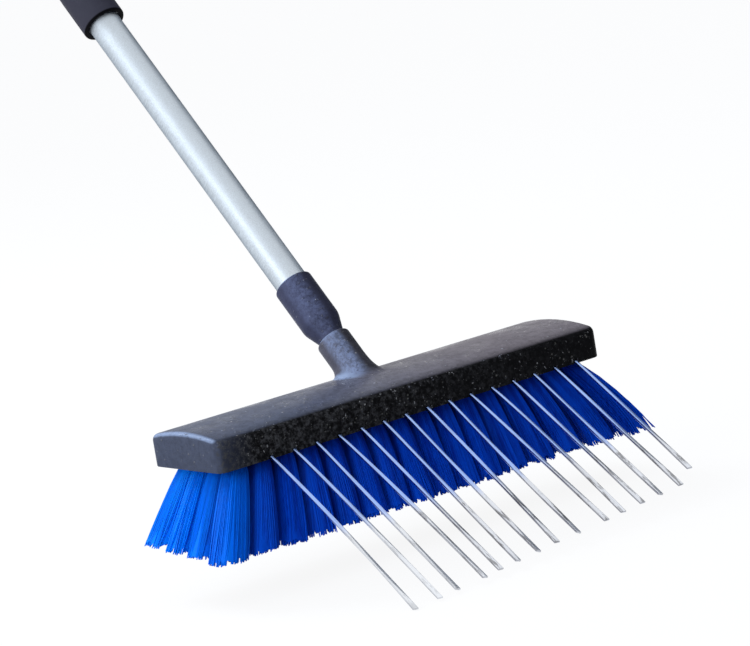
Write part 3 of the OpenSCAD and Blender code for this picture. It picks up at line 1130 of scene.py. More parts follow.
@dataclass(frozen=True)
class Foam(Finish):
    """Closed-cell foam rubber with open pores at its skin."""

    wear: Noise = Noise(40, 4)
    worn_span: Range = (0.45, 0.7)
    worn_shade: float = 2.2
    rough_span: Range = (0.3, 0.7)
    smoother: float = 0.08
    pore_waves: float = 900.0
    pore_reach: Range = (0.0, 0.5)
    pore_strength: float = 0.6
    pore_height: float = 0.25 * MM
    lumps: Noise = Noise(120, 3)
    lump_strength: float = 0.3

    def dress(self, tree: Graph) -> None:
        """Sinks small pores and varies the dark skin.

        Args:
            tree: The material's graph.
        """
        distance, _ = tree.cells(self.pore_waves)
        wear = tree.noise(self.wear)
        worn = tree.remap(wear, self.worn_span)
        lumps = tree.bump(tree.noise(self.lumps), self.lump_strength, self.pore_height)
        pores = tree.remap(distance, self.pore_reach)
        tree.put("Base Color", tree.blend(worn, self.colour, self.shaded(self.worn_shade)))
        tree.put("Roughness", tree.remap(wear, self.rough_span, self.between(self.smoother, 0.0)))
        tree.put("Normal", tree.bump(pores, self.pore_strength, self.pore_height, lumps))


CASING = WetPlastic("wet_grained_plastic", "shell_plastic", (0.003, 0.003, 0.0035), 0.32)
PLATE = MouldedPlastic("black_plate_plastic", "plate_plastic", (0.01, 0.01, 0.012), 0.5)
BRISTLE = Filament("blue_filament", "bristle", (0.0, 0.062, 0.55), 0.5)
TINE_STEEL = RakeSteel(
    "bright_spring_steel", "tine_steel", (0.76, 0.79, 0.85), 0.2,
    edge_tint=(0.5, 0.5, 0.55), stain_share=0.7, line_turn=-34.0,
)
BAR_STEEL = Metal("zinc_strip", "bar_steel", (0.5, 0.51, 0.54), 0.35, line_waves=(14.0, 2200.0, 2200.0))
SCREW_STEEL = Metal("zinc_screw", "screw_steel", (0.42, 0.43, 0.46), 0.35, stain_share=0.3)
ANCHOR_METAL = Metal("anchor_strip", "anchor_metal", (0.6, 0.6, 0.6), 0.35)
RIVET_METAL = Metal("plain_rivet", "rivet_metal", (0.68, 0.7, 0.72), 0.32)
# The tip's own colours for the painted sheen and highlights, with fewer flecks and more beads.
TIP_PLASTIC = WetPlastic(
    "slate_tip_plastic", "tip_plastic", (0.02, 0.02, 0.032), 0.35, film_and_sheen_left=(0.063, 0.07, 0.126),
    film_and_sheen_right=(0.045, 0.045, 0.072), neck_sheen=(0.1, 0.115, 0.2), grime_and_shade_colour=(0.022, 0.022, 0.034),
    fleck_share=0.1, bead_share=0.25,
)
TUBE_METAL = Metal(
    "satin_anodised_tube", "tube_aluminium", (0.58, 0.64, 0.7), 0.48, edge_tint=(0.05, 0.05, 0.06),
    line_turn=-44.0, line_waves=(2600.0, 2600.0, 6.0), line_height=0.003 * MM,
)
GUIDE_PLASTIC = MouldedPlastic("white_guide_plastic", "guide_plastic", (0.72, 0.72, 0.67), 0.4)
SLEEVE_PLASTIC = MouldedPlastic("dark_sleeve_plastic", "sleeve_plastic", (0.016, 0.0155, 0.02), 0.5)
# The collar's lower end gets painted shade.
COLLAR_PLASTIC = MouldedPlastic(
    "satin_collar_plastic", "collar_plastic", (0.04, 0.039, 0.053), 0.5,
    mark_share=0.03, low_shade=0.93, gloss=0.02,
)
GRIP_FOAM = Foam("black_foam", "grip_foam", (0.016, 0.016, 0.018), 0.92)
CAP_PLASTIC = MouldedPlastic("dark_cap_plastic", "cap_plastic", (0.03, 0.03, 0.036), 0.45)


# ---------------------------------------------------------------- brush head


@dataclass
class Casing:
    """The head's moulded casing: a hollow crowned block with the handle's neck growing from it."""

    block: Block
    axis: HandleAxis
    edge_round: float = 5 * MM
    edge_steps: int = 8
    rim_round: float = 0.8 * MM
    wall: float = 3.5 * MM
    overshoot: float = 1 * MM
    lid_pitch: float = 7 * MM
    lid_margin: float = 0.6
    foot_margin: float = 0.2 * MM
    foot_rise: float = 14 * MM
    least_rise: float = 0.15
    foot_reach: float = 7 * MM
    foot_least_side: float = 0.05
    front_rise: float = 10 * MM
    front_reach: float = 2 * MM
    foot_steps: int = 11
    neck_shares: tuple[float, ...] = (0.33, 0.67, 1.0)
    neck_rim_depth: float = 2 * MM
    neck_rim_round: float = 1.2 * MM
    neck_rim_turns: tuple[int, ...] = (30, 60, 90)
    neck_steps: int = 72
    search_reach: float = 40 * MM
    search_steps: int = 40
    socket_radius: float = 9.5 * MM
    socket_floor: float = -4 * MM
    socket_sides: int = 48
    boss_top: float = 30 * MM
    notch_width: float = 3.8 * MM
    notch_height: float = 2.9 * MM
    notch_slope: float = 0.6745
    long_steps: int = 34
    short_steps: int = 8
    corner_steps: int = 8

    def outline(self, inset: float) -> list[Vector]:
        """Gives the block's outline from above.

        Args:
            inset: How far inside the block's outer faces it runs.

        Returns:
            Points around the outline, as many for any inset.
        """
        length = self.block.half_length - self.block.corner
        width = self.block.half_width - self.block.corner
        radius = self.block.corner - inset
        centres = [(length, -width), (length, width), (-length, width), (-length, -width)]
        sides = [self.short_steps, self.long_steps, self.short_steps, self.long_steps]
        points = []
        for k, (cx, cy) in enumerate(centres):
            turn = (k - 1) * math.pi / 2
            for i in range(self.corner_steps + 1):
                angle = turn + math.pi / 2 * i / self.corner_steps
                points.append(Vector((cx + radius * math.cos(angle), cy + radius * math.sin(angle))))
            nx, ny = centres[(k + 1) % 4]
            angle = turn + math.pi / 2
            out = Vector((math.cos(angle), math.sin(angle))) * radius
            for i in range(1, sides[k]):
                t = i / sides[k]
                points.append(Vector((cx + (nx - cx) * t, cy + (ny - cy) * t)) + out)
        return points

    def lid(self, shape: Shape, ring: Sequence[int], hole: Sequence[int], sink: float = 0.0) -> None:
        """Covers a ring with the block's arched top, around a hole.

        Args:
            shape: The shape that the ring belongs to.
            ring: The outer ring's points.
            hole: The hole's ring, or an empty list.
            sink: Depth of this arch below the block's top.
        """
        outer = [shape.points[i].xy for i in ring]
        inner = [shape.points[i].xy for i in hole]
        pitch = self.lid_pitch
        margin = self.lid_margin * pitch
        half = Vector((max(p.x for p in outer), max(p.y for p in outer)))
        loose = [
            Vector((i * pitch, j * pitch))
            for i in range(-int(half.x / pitch), int(half.x / pitch) + 1)
            for j in range(-int(half.y / pitch), int(half.y / pitch) + 1)
        ]
        loose = [
            p for p in loose
            if abs(p.x) < half.x - margin and abs(p.y) < half.y - margin
            and min((p - q).length for q in outer) > margin
            and not (inner and (inside(p, inner) or min((p - q).length for q in inner) < margin))
        ]
        flat = outer + inner + loose
        edges = [(i, (i + 1) % len(outer)) for i in range(len(outer))]
        edges += [(len(outer) + i, len(outer) + (i + 1) % len(inner)) for i in range(len(inner))]
        spots, _, faces, origins, _, _ = delaunay_2d_cdt(flat, edges, [], 1, 0.0001 * MM)
        numbers = list(ring) + list(hole)
        placed = []
        for spot, origin in zip(spots, origins):
            known = [numbers[o] for o in origin if o < len(numbers)]
            if known:
                placed.append(known[0])
            else:
                placed += shape.ring([Vector((spot.x, spot.y, self.block.top(spot.y, sink)))])
        for face in faces:
            centre = sum((spots[i] for i in face), Vector((0, 0))) / len(face)
            if not (inner and inside(centre, inner)):
                shape.faces.append(tuple(placed[i] for i in face))

    def neck_rings(self, shape: Shape) -> list[list[int]]:
        """Makes the neck's rings, from its foot on the crown to its rim.

        Args:
            shape: The shape that takes the rings.

        Returns:
            The rings, lowest first.
        """
        s_neck, r_neck = self.axis.spread("head_shell")
        rim = float(s_neck.max())
        radius = float(r_neck[s_neck > rim - self.neck_rim_depth].max())
        angles = [2 * math.pi * k / self.neck_steps for k in range(self.neck_steps)]
        columns = [self.neck_column(angle, radius, rim) for angle in angles]
        return [shape.ring(points) for points in zip(*columns)]

    def neck_column(self, angle: float, radius: float, rim: float) -> list[Vector]:
        """Draws one line up the neck's side, from its foot on the crown to its rounded rim.

        Args:
            angle: The line's angle around the axis.
            radius: The neck's radius.
            rim: Place of the neck's end along the axis.

        Returns:
            The line's points, lowest first.
        """
        point = self.axis.point
        meet_s = self.meeting(angle, radius)
        meet = point(meet_s, radius, angle)
        out = (point(0, 1, angle) - point(0)).xy.normalized()
        limit = self.block.half_width - self.edge_round - self.foot_margin
        room = max((limit - meet.y) / max(out.y, self.foot_least_side), SLACK)
        reach = self.foot_reach * (1 - math.exp(-room / self.foot_reach))
        rise = self.foot_rise * (self.least_rise + (1 - self.least_rise) * reach / self.foot_reach)
        front = max(-out.y, 0.0)
        reach += self.front_reach * front
        start = meet_s + rise + self.front_rise * front
        foot = meet.xy + out * reach
        low = Vector((foot.x, foot.y, self.block.top(foot.y)))
        high = point(start, radius, angle)
        line = [curve(low, meet, high, t) for t in np.linspace(0, 1, self.foot_steps)]
        bend = self.neck_rim_round
        top = rim - bend
        line += [point(start + (top - start) * t, radius, angle) for t in self.neck_shares]
        for turn in self.neck_rim_turns:
            lift, draw = math.sin(math.radians(turn)), 1 - math.cos(math.radians(turn))
            line.append(point(top + lift * bend, radius - draw * bend, angle))
        return line

    def meeting(self, angle: float, radius: float) -> float:
        """Finds where a line up the neck's side leaves the crown.

        Args:
            angle: The line's angle around the axis.
            radius: The neck's radius.

        Returns:
            The distance up the axis.
        """
        low, high = -self.search_reach, self.search_reach
        for _ in range(self.search_steps):
            middle = (low + high) / 2
            spot = self.axis.point(middle, radius, angle)
            if spot.z < self.block.top(spot.y):
                low = middle
            else:
                high = middle
        return (low + high) / 2

    def wall_rings(self, shape: Shape) -> list[list[int]]:
        """Makes the rings of the outer walls, from the lower rim to the rounded top edge.

        Args:
            shape: The shape that takes the rings.

        Returns:
            The rings, lowest first.
        """
        face, inner, low = self.outline(0), self.outline(self.edge_round), self.block.low
        rings = []
        for turn in (0, 45, 90):
            inset = self.rim_round * (1 - math.sin(math.radians(turn)))
            lift = self.rim_round * (1 - math.cos(math.radians(turn)))
            rings.append(shape.ring(Vector((p.x, p.y, low + lift)) for p in self.outline(inset)))
        for t in np.linspace(0, 1, self.edge_steps):
            band = []
            for outer, inward in zip(face, inner):
                start = Vector((outer.x, outer.y, self.block.top(outer.y) - self.edge_round))
                middle = Vector((outer.x, outer.y, self.block.top(outer.y)))
                end = Vector((inward.x, inward.y, self.block.top(inward.y)))
                band.append(curve(start, middle, end, t))
            rings.append(shape.ring(band))
        return rings

    def outer_solid(self) -> bpy.types.Object:
        """Makes the casing's outside as one closed solid.

        Returns:
            The solid.
        """
        shape = Shape()
        walls, neck = self.wall_rings(shape), self.neck_rings(shape)
        for rings in (walls, neck):
            for lower, upper in zip(rings, rings[1:]):
                shape.bridge(lower, upper)
        shape.cap(walls[0])
        shape.cap(neck[-1])
        self.lid(shape, walls[-1], neck[0])
        return shape.build("brush_casing")

    def cavity(self) -> bpy.types.Object:
        """Makes the hollow below the crown, less the boss around the neck's socket.

        Returns:
            The hollow as a solid.
        """
        shape = Shape()
        outline = self.outline(self.wall)
        low = self.block.low - self.overshoot
        rings = [
            shape.ring(Vector((p.x, p.y, low)) for p in outline),
            shape.ring(Vector((p.x, p.y, self.block.top(p.y, self.wall))) for p in outline),
        ]
        shape.bridge(*rings)
        shape.cap(rings[0])
        self.lid(shape, rings[1], [], self.wall)
        hollow = shape.build("hollow")
        cut_away(hollow, self.rod("boss", self.socket_floor - self.wall, self.boss_top, self.wall))
        return hollow

    def rod(self, name: str, low: float, high: float, wall: float = 0.0) -> bpy.types.Object:
        """Makes a round rod in line with the neck's socket.

        Args:
            name: Name of the rod.
            low: Its lower end along the axis.
            high: Its upper end along the axis.
            wall: How much wider it is than the socket, all around.

        Returns:
            The rod.
        """
        radius = self.socket_radius + wall
        return lathe(self.axis, [(low, radius), (high, radius)], self.socket_sides).build(name)

    def notches(self, places: Sequence[float]) -> bpy.types.Object:
        """Makes the cutters for the tines' notches in the front wall.

        Args:
            places: Where each tine crosses the wall, along X.

        Returns:
            The cutters as one object.
        """
        shape = Shape()
        front = -self.block.half_width
        low = self.block.low - self.overshoot
        for x in places:
            left, right = x - self.notch_width / 2, x + self.notch_width / 2
            part = Shape()
            rings = []
            for y in (front - self.overshoot, front + self.wall + self.overshoot):
                top = self.block.low + self.notch_height + (y - front) * self.notch_slope
                corners = ((left, low), (right, low), (right, top), (left, top))
                rings.append(part.ring(Vector((corner, y, z)) for corner, z in corners))
            part.loft(rings)
            shape.join(part)
        return shape.build("notches")

    def build(self, tine_places: Sequence[float]) -> bpy.types.Object:
        """Makes and dresses the casing.

        Args:
            tine_places: Where each tine crosses the front wall, along X.

        Returns:
            The finished casing.
        """
        casing = self.outer_solid()
        rim = self.axis.span("head_shell")[1]
        cut_away(casing, self.cavity())
        cut_away(casing, self.rod("socket", self.socket_floor, rim + self.overshoot))
        cut_away(casing, self.notches(tine_places))
        smooth(casing)
        CASING.apply(casing)
        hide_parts("head_shell")
        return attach(casing, Body.HEAD.value)


def inside(point: Vector, ring: Sequence[Vector]) -> bool:
    """Tells whether a flat point lies inside a closed ring.

    Args:
        point: The point.
        ring: The ring's points in order.

    Returns:
        Whether it lies inside.
    """
    found = False
    for a, b in zip(ring, list(ring[1:]) + [ring[0]]):
        if (a.y > point.y) == (b.y > point.y):
            continue
        if point.x < (b.x - a.x) * (point.y - a.y) / (b.y - a.y) + a.x:
            found = not found
    return found


def sunflower(count: int) -> np.ndarray:
    """Spreads points evenly over a disc of radius 1.

    Args:
        count: Number of points.

    Returns:
        One row of two coordinates for each point, from the middle outwards.
    """
    steps = np.arange(count)
    radius = np.sqrt((steps + 0.5) / count)
    angles = steps * GOLDEN_ANGLE
    return np.stack([radius * np.cos(angles), radius * np.sin(angles)], axis=1)


@dataclass(frozen=True)
class TuftLine:
    """Middle line and radii of one tuft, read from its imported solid."""

    root: np.ndarray
    tip: np.ndarray
    root_radius: float
    tip_radius: np.ndarray

    @classmethod
    def measured(cls, corners: np.ndarray, plate_low: float, slack: float = 0.05 * MM) -> "TuftLine":
        """Measures one tuft.

        Args:
            corners: The tuft solid's corners.
            plate_low: Height of the plate's underside, where the tuft leaves its hole.
            slack: How far a corner may lie from the end that it is taken for.

        Returns:
            The tuft's line.
        """
        low, high = corners[:, 2].min(), corners[:, 2].max()
        tip = corners[corners[:, 2] < low + slack]
        root = corners[corners[:, 2] > high - slack]
        start, end = (root.min(0) + root.max(0)) / 2, (tip.min(0) + tip.max(0)) / 2
        start[2] = plate_low
        return cls(start, end, np.ptp(root[:, 1]) / 2, np.ptp(tip[:, :2], axis=0) / 2)

    @property
    def height(self) -> float:
        """Height from the tips to the plate."""
        return float(self.root[2] - self.tip[2])


@dataclass
class TuftRow:
    """One row of tufts: each is a fluted core wrapped in filaments, with short ones filling its tip."""

    node: TuftRowNode
    number: int
    first_seed: int = 31
    long_strands: int = 96
    short_strands: int = 110
    short_start: float = 0.72
    short_spread: float = 0.86
    short_turn: float = 6.0
    wrap_layers: int = 6
    strand_radius: float = 0.5 * MM
    strand_sides: int = 4
    clumps: int = 15
    clump_scatter: float = 0.06
    clump_drift: float = 0.04
    strand_drift: float = 0.025
    stray_share: float = 0.03
    stray_drift: float = 4.0
    pinch: float = 0.35
    ragged: float = 3 * MM
    ragged_clumps: float = 0.6
    ragged_strands: float = 0.5
    ragged_middle: float = 0.3
    hole_depth: float = 5 * MM
    fill: tuple[float, float] = (1.2, 1.38)
    swell: float = 0.4
    swell_length: float = 0.05
    bow: float = 0.13
    bow_lean: float = 30 * MM
    long_rings: int = 7
    short_rings: int = 3
    core_size: float = 0.91
    core_end: float = 0.955
    core_rings: int = 9
    core_flute: float = 0.02
    core_hollow: float = 0.3
    core_dip: float = 3.0
    torn: float = 0.026
    # Painted light on the tufts at the left end: its share in the first two columns, growing row by row
    # towards the handle.
    lit_columns: tuple[float, ...] = (1.0, 0.14)
    front_lit_share: float = 0.5
    more_lit_share: float = 1 / 6
    # Painted shade below the block: how far down the tufts it reaches and how deep it is.
    shade_length: float = 0.4
    root_shade: float = 0.34
    squareness: float = 0.75
    core_sides: int = 40
    tone_waves: tuple[int, int] = (3, 7)
    tone_middle: float = 0.5
    tone_swing: float = 0.15
    tone_scatter: float = 0.1
    sharp_above: float = 60.0

    def centre(self, tuft: TuftLine, t: np.ndarray) -> np.ndarray:
        """Gives the tuft's middle line, which bows outwards at the block's right end.

        Args:
            tuft: The tuft.
            t: Places from 0 at the plate to 1 at the tips.

        Returns:
            Points with a last axis of x, y and z.
        """
        lean = tuft.tip - tuft.root
        bowed = t + self.bow * 4 * t * (1 - t) * min(max(lean[0], 0.0) / self.bow_lean, 1.0)
        point = tuft.root + lean * t[..., None]
        point[..., 0] = tuft.root[0] + lean[0] * bowed
        return point

    def width(self, tuft: TuftLine, t: np.ndarray) -> np.ndarray:
        """Gives the tuft's half width.

        Args:
            tuft: The tuft.
            t: Places from 0 at the plate to 1 at the tips.

        Returns:
            Half widths with a last axis of x and y.
        """
        below = np.clip(t, 0, None)[..., None]
        grown = self.swell * (1 - np.exp(-below / self.swell_length)) + (1 - self.swell) * below
        return tuft.root_radius * (1 - grown) + tuft.tip_radius * self.fill * grown

    def strands(self, tuft: TuftLine, seats: np.ndarray, steps: np.ndarray, rng: Draws) -> np.ndarray:
        """Places filaments from their seats in the tuft.

        Args:
            tuft: The tuft.
            seats: Place of each filament in a disc of radius 1.
            steps: Places of the rings along a filament.
            rng: Source of the small differences.

        Returns:
            Points by filament, ring, side and axis.
        """
        clumps, count, sides = self.clumps, len(seats), self.strand_sides
        middles = sunflower(clumps) + rng.normal(0, self.clump_scatter, (clumps, 2))
        nearest = np.linalg.norm(seats[:, None] - middles[None], axis=2).argmin(axis=1)
        short = rng.uniform(0, self.ragged_clumps, clumps)[nearest]
        short += rng.uniform(0, self.ragged_strands, count)
        reach = 1 - self.ragged / tuft.height * (short - self.ragged_middle)
        t = np.where(steps > 0, steps * reach[:, None], steps)
        opened = np.clip(t, 0, 1)[..., None]
        seats = self.squared(seats)
        drift = rng.normal(0, self.clump_drift, (clumps, 2))[nearest]
        drift += rng.normal(0, self.strand_drift, (count, 2))
        drift *= np.where(rng.uniform(0, 1, (count, 1)) < self.stray_share, self.stray_drift, 1.0)
        pull = (middles[nearest] - seats)[:, None, :] * self.pinch * opened**4
        place = seats[:, None, :] + pull + drift[:, None, :] * opened**2
        points = self.centre(tuft, t)
        points[..., :2] += place * self.width(tuft, t)
        angles = np.arange(sides) * 2 * math.pi / sides + rng.uniform(0, math.pi)
        ring = np.stack([np.cos(angles), np.sin(angles), np.zeros(sides)], axis=1) * self.strand_radius
        return points[:, :, None, :] + ring

    def squared(self, seats: np.ndarray) -> np.ndarray:
        """Pushes places in a disc outwards at the diagonals, so that neighbouring tufts meet.

        Args:
            seats: The places, with a last axis of x and y.

        Returns:
            The pushed places.
        """
        round_size = np.linalg.norm(seats, axis=-1, keepdims=True)
        square_size = np.sqrt(np.sqrt((seats**4).sum(axis=-1, keepdims=True))) + NEAR_ZERO
        return seats * (1 + (round_size / square_size - 1) * self.squareness)

    def core(self, tuft: TuftLine, rng: Draws) -> np.ndarray:
        """Places the fluted core of one tuft.

        Args:
            tuft: The tuft.
            rng: Source of the small differences.

        Returns:
            Points by tube, ring, side and axis.
        """
        sides = self.core_sides
        steps = np.linspace(-self.hole_depth / tuft.height, self.core_end, self.core_rings)
        t = np.repeat(steps[:, None], sides, 1)
        t[-1] += rng.uniform(-self.torn, self.torn, sides)
        t = np.concatenate([t, np.full((1, sides), self.core_end - self.core_dip * self.torn)])
        size = np.append(np.full(self.core_rings, self.core_size), self.core_hollow * self.core_size)
        angles = np.linspace(0, 2 * math.pi, sides, endpoint=False)
        flute = 1 + rng.uniform(-self.core_flute, self.core_flute, sides)
        circle = self.squared(np.stack([np.cos(angles), np.sin(angles)], axis=1)) * flute[:, None]
        points = self.centre(tuft, t)
        points[..., :2] += circle[None] * size[:, None, None] * self.width(tuft, t)
        return points[None]

    def tuft_parts(self, tuft: TuftLine, rng: Draws) -> list[tuple[np.ndarray, np.ndarray]]:
        """Makes the parts of one tuft.

        Args:
            tuft: The tuft.
            rng: Source of the small differences.

        Returns:
            For each part its points and the tone of each point, which holds the painted shade below the
            block.
        """
        wrap = sunflower(self.long_strands * self.wrap_layers)[-self.long_strands:]
        filling = sunflower(self.short_strands) * self.short_spread
        long_steps = np.linspace(-self.hole_depth / tuft.height, 1, self.long_rings)
        short_steps = np.linspace(self.short_start, 1, self.short_rings)
        long_ones = self.strands(tuft, wrap, long_steps, rng)
        short_ones = self.strands(tuft, filling, short_steps, rng)
        core = self.core(tuft, rng)
        phase = rng.uniform(0, 2 * math.pi)
        rim = np.linspace(0, 2 * math.pi, self.core_sides, endpoint=False)
        around = np.arctan2(*wrap.T[::-1])
        scattered = rng.uniform(0, self.short_turn, self.short_strands)
        parts = []
        for points, angles in ((long_ones, around), (short_ones, scattered)):
            tone = self.streaks(angles, phase, rng)[:, None, None] - self.shade(tuft, points)
            parts.append((points, tone.ravel()))
        parts.append((core, (self.streaks(rim, phase, rng) - self.shade(tuft, core)).ravel()))
        return parts

    def shade(self, tuft: TuftLine, points: np.ndarray) -> np.ndarray:
        """Tells how much painted shade from the block above darkens the tone of points of a tuft."""
        share = (tuft.root[2] - points[..., 2]) / tuft.height
        return self.root_shade * np.clip(1 - share / self.shade_length, 0, 1)

    def streaks(self, angles: np.ndarray, phase: float, rng: Draws) -> np.ndarray:
        """Gives strands their tones, which drift slowly from strand to strand.

        Args:
            angles: The strands' angles around the tuft.
            phase: Where around the tuft the drift starts.
            rng: Source of the small differences.

        Returns:
            The tones.
        """
        few, many = self.tone_waves
        broad = np.sin(few * angles + phase) + np.sin(many * angles - phase)
        own = rng.uniform(-self.tone_scatter, self.tone_scatter, len(angles))
        return self.tone_middle + self.tone_swing * broad + own

    def build(self) -> bpy.types.Object:
        """Makes and dresses the row.

        Returns:
            The finished row.
        """
        rng = np.random.default_rng(self.first_seed + self.number)
        row_lit_share = self.front_lit_share + self.more_lit_share * self.number
        plate_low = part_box("bristle_plate")[0].z
        points, faces, tones, lit_shares = [], [], [], []
        start = 0
        for column, corners in enumerate(islands(self.node.value)):
            # Painted light on the left end's columns.
            pale = row_lit_share * self.lit_columns[column] if column < len(self.lit_columns) else 0.0
            for block, tone in self.tuft_parts(TuftLine.measured(corners, plate_low), rng):
                tubes, rings, sides = block.shape[:3]
                points.append(block.reshape(-1, 3))
                faces += tube_faces(tubes, rings, sides, start)
                start += tubes * rings * sides
                tones.append(tone)
                lit_shares.append(np.full(len(tone), pale))
        name = self.node.value.replace("tuft_row", "bristles")
        mesh = bpy.data.meshes.new(name)
        mesh.from_pydata(np.concatenate(points).tolist(), [], faces)
        for label, values in (("tone", tones), ("pale", lit_shares)):
            mesh.attributes.new(label, "FLOAT", "POINT").data.foreach_set("value", np.concatenate(values))
        row = bpy.data.objects.new(name, mesh)
        bpy.context.scene.collection.objects.link(row)
        smooth(row, self.sharp_above)
        BRISTLE.apply(row)
        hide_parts(self.node.value)
        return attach(row, Body.HEAD.value)


def tube_faces(count: int, rings: int, sides: int, start: int) -> list[tuple[int, ...]]:
    """Lists the faces of several closed tubes whose points follow each other.

    Args:
        count: Number of tubes.
        rings: Rings in each tube.
        sides: Points in each ring.
        start: Number of the first point.

    Returns:
        The faces, with both ends of each tube capped.
    """
    faces: list[tuple[int, ...]] = []
    for tube in range(count):
        first = start + tube * rings * sides
        for ring in range(rings - 1):
            for side in range(sides):
                a = first + ring * sides + side
                b = first + ring * sides + (side + 1) % sides
                faces.append((a, a + sides, b + sides, b))
        faces.append(tuple(first + side for side in range(sides)))
        last = first + (rings - 1) * sides
        faces.append(tuple(last + side for side in reversed(range(sides))))
    return faces


@dataclass
class Tine:
    """One rake tine: a flat steel strip with rolled edges, a little bent and twisted by use."""

    number: int
    block: Block
    exit_height: float = 1.2 * MM
    tip_reach: float = 1.6 * MM
    tail_gap: float = 1 * MM
    tail_round: float = 5 * MM
    thickness: float = 1.7 * MM
    roll: float = 0.42 * MM
    roll_share: float = 0.9
    slim: float = 0.78
    first_seed: int = 700
    least_twist: float = 0.4
    most_twist: float = 26.0
    twist_waves: float = 7.0
    most_bow: float = 1.2 * MM
    end_slant: float = 0.35
    sharp_above: float = 40.0
    rings: int = 44

    @property
    def node(self) -> str:
        """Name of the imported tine."""
        return f"tine_{self.number:02d}"

    def tail(self) -> np.ndarray:
        """Gives the corners of the part that lies inside the block."""
        corners = node_points(self.node)
        return corners[corners[:, 1] > self.tail_gap - self.block.half_width]

    def tip(self) -> np.ndarray:
        """Gives the corners of the far end."""
        corners = node_points(self.node)
        return corners[corners[:, 1] < corners[:, 1].min() + self.tip_reach]

    def place(self) -> float:
        """Gives where the tine crosses the front wall, along X."""
        tail = self.tail()
        return float((tail[:, 0].min() + tail[:, 0].max()) / 2)

    def path(self, rng: Draws) -> tuple[list[Vector], list[float]]:
        """Lays out the strip's middle line.

        Args:
            rng: Source of the bends.

        Returns:
            Points from the tail to the tip, and at each its share of the free length.
        """
        tail, end, x = self.tail(), self.tip(), self.place()
        tip = Vector((end.min(0) + end.max(0)) / 2)
        leave = Vector((x, -self.block.half_width, self.block.low + self.exit_height))
        slope = (leave.z - tip.z) / (leave.y - tip.y)
        level = float(tail[:, 2].max()) - self.thickness / 2
        bend = leave.y + (level - leave.z) / slope
        start = float(tail[:, 1].max())
        side = [(start, level, 0.0), (bend, level, self.tail_round), (leave.y, leave.z, 0.0)]
        points = [Vector((x, y, z)) for y, z in soften(side)]
        shares = [0.0] * len(points)
        bow_side, bow_up = rng.uniform(-1, 1, 2) * self.most_bow
        for k in range(1, self.rings + 1):
            t = k / self.rings
            swing = 4 * t * (1 - t)
            points.append(leave.lerp(tip, t) + Vector((bow_side * swing, 0, bow_up * swing)))
            shares.append(t)
        return points, shares

    def build(self) -> bpy.types.Object:
        """Makes and dresses the tine.

        Returns:
            The finished tine.
        """
        rng = np.random.default_rng(self.first_seed + self.number)
        root_width, tip_width = np.ptp(self.tail()[:, 0]), np.ptp(self.tip()[:, 0])
        twist = math.radians(rng.uniform(self.least_twist, 1.0) * self.most_twist)
        phase = rng.uniform(0, 2 * math.pi)
        points, shares = self.path(rng)
        last = len(points) - 1
        shape = Shape()
        rings, edges = [], []
        for k, (point, share) in enumerate(zip(points, shares)):
            ahead = (points[min(k + 1, last)] - points[max(k - 1, 0)]).normalized()
            side = Vector((1, 0, 0))
            side = (side - ahead * side.dot(ahead)).normalized()
            up = ahead.cross(side)
            turn = twist * math.sin(phase + self.twist_waves * share) * share
            slant = self.end_slant if k == last else 0.0
            half = (root_width + (tip_width - root_width) * share) * self.slim / 2
            flat = self.thickness / 2
            outline = soften([(x * half, y * flat, self.roll) for x, y in SQUARE], closed=True, steps=2)
            wide = side * math.cos(turn) + up * math.sin(turn)
            tall = up * math.cos(turn) - side * math.sin(turn)
            rings.append(shape.ring(point + wide * a + tall * b + ahead * slant * a for a, b in outline))
            edges += [float(abs(a) > half - self.roll_share * self.roll) for a, _ in outline]
        shape.loft(rings)
        tine = shape.build(f"rake_{self.node}", self.sharp_above)
        # The edge attribute marks where the steel paints dark reflections on the rolled edges.
        tine.data.attributes.new("edge", "FLOAT", "POINT").data.foreach_set("value", edges)
        TINE_STEEL.apply(tine)
        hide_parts(self.node)
        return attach(tine, Body.HEAD.value)


# ---------------------------------------------------------------- handle


@dataclass
class TurnedPiece:
    """A piece that is turned around the handle's axis."""

    axis: HandleAxis
    round_steps: int = 7

    def turn(self, corners: Sequence[Corner], closed: bool = False, sides: int = 96) -> Shape:
        """Rounds the corners of a profile and turns it.

        Args:
            corners: Each corner's place up the axis, its radius and how far from it its round starts.
            closed: Whether the profile is a closed loop, as a tube's is.
            sides: Number of faces around.

        Returns:
            The turned shape.
        """
        return lathe(self.axis, soften(corners, closed, self.round_steps), sides, closed)


@dataclass
class HandleTip(TurnedPiece):
    """The moulded tip that screws into the neck and holds the lower tube."""

    waist_start: float = 32 * MM
    waist_length: float = 3.3 * MM
    waist_radius: float = 10.6 * MM
    waist_round: float = 2 * MM
    taper_length: float = 13 * MM
    stud_radius: float = 9 * MM
    stud_round: float = 1 * MM
    step_round: float = 0.5 * MM
    rim_round: float = 1.6 * MM
    shoulder_round: float = 2.5 * MM
    seat_gap: float = 0.05 * MM

    def build(self) -> bpy.types.Object:
        """Makes and dresses the tip.

        Returns:
            The finished tip.
        """
        low, high = self.axis.span("handle_tip")
        body = self.axis.radius("handle_tip")
        seat = self.axis.radius("lower_tube") + self.seat_gap
        taper = self.waist_start + self.waist_length
        tube = taper + self.taper_length
        shape = self.turn([
            (low, AXIS_GAP, 0.0), (low, self.stud_radius, self.stud_round),
            (self.waist_start, self.stud_radius, 0.0),
            (self.waist_start, self.waist_radius, self.step_round),
            (taper, self.waist_radius, self.waist_round), (tube, body, self.shoulder_round),
            (high, body, self.rim_round), (high, seat, self.step_round),
            (tube, seat, 0.0), (tube, AXIS_GAP, 0.0),
        ])
        tip = shape.build("handle_ferrule")
        TIP_PLASTIC.apply(tip)
        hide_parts("handle_tip")
        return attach(tip, Body.HEAD.value)


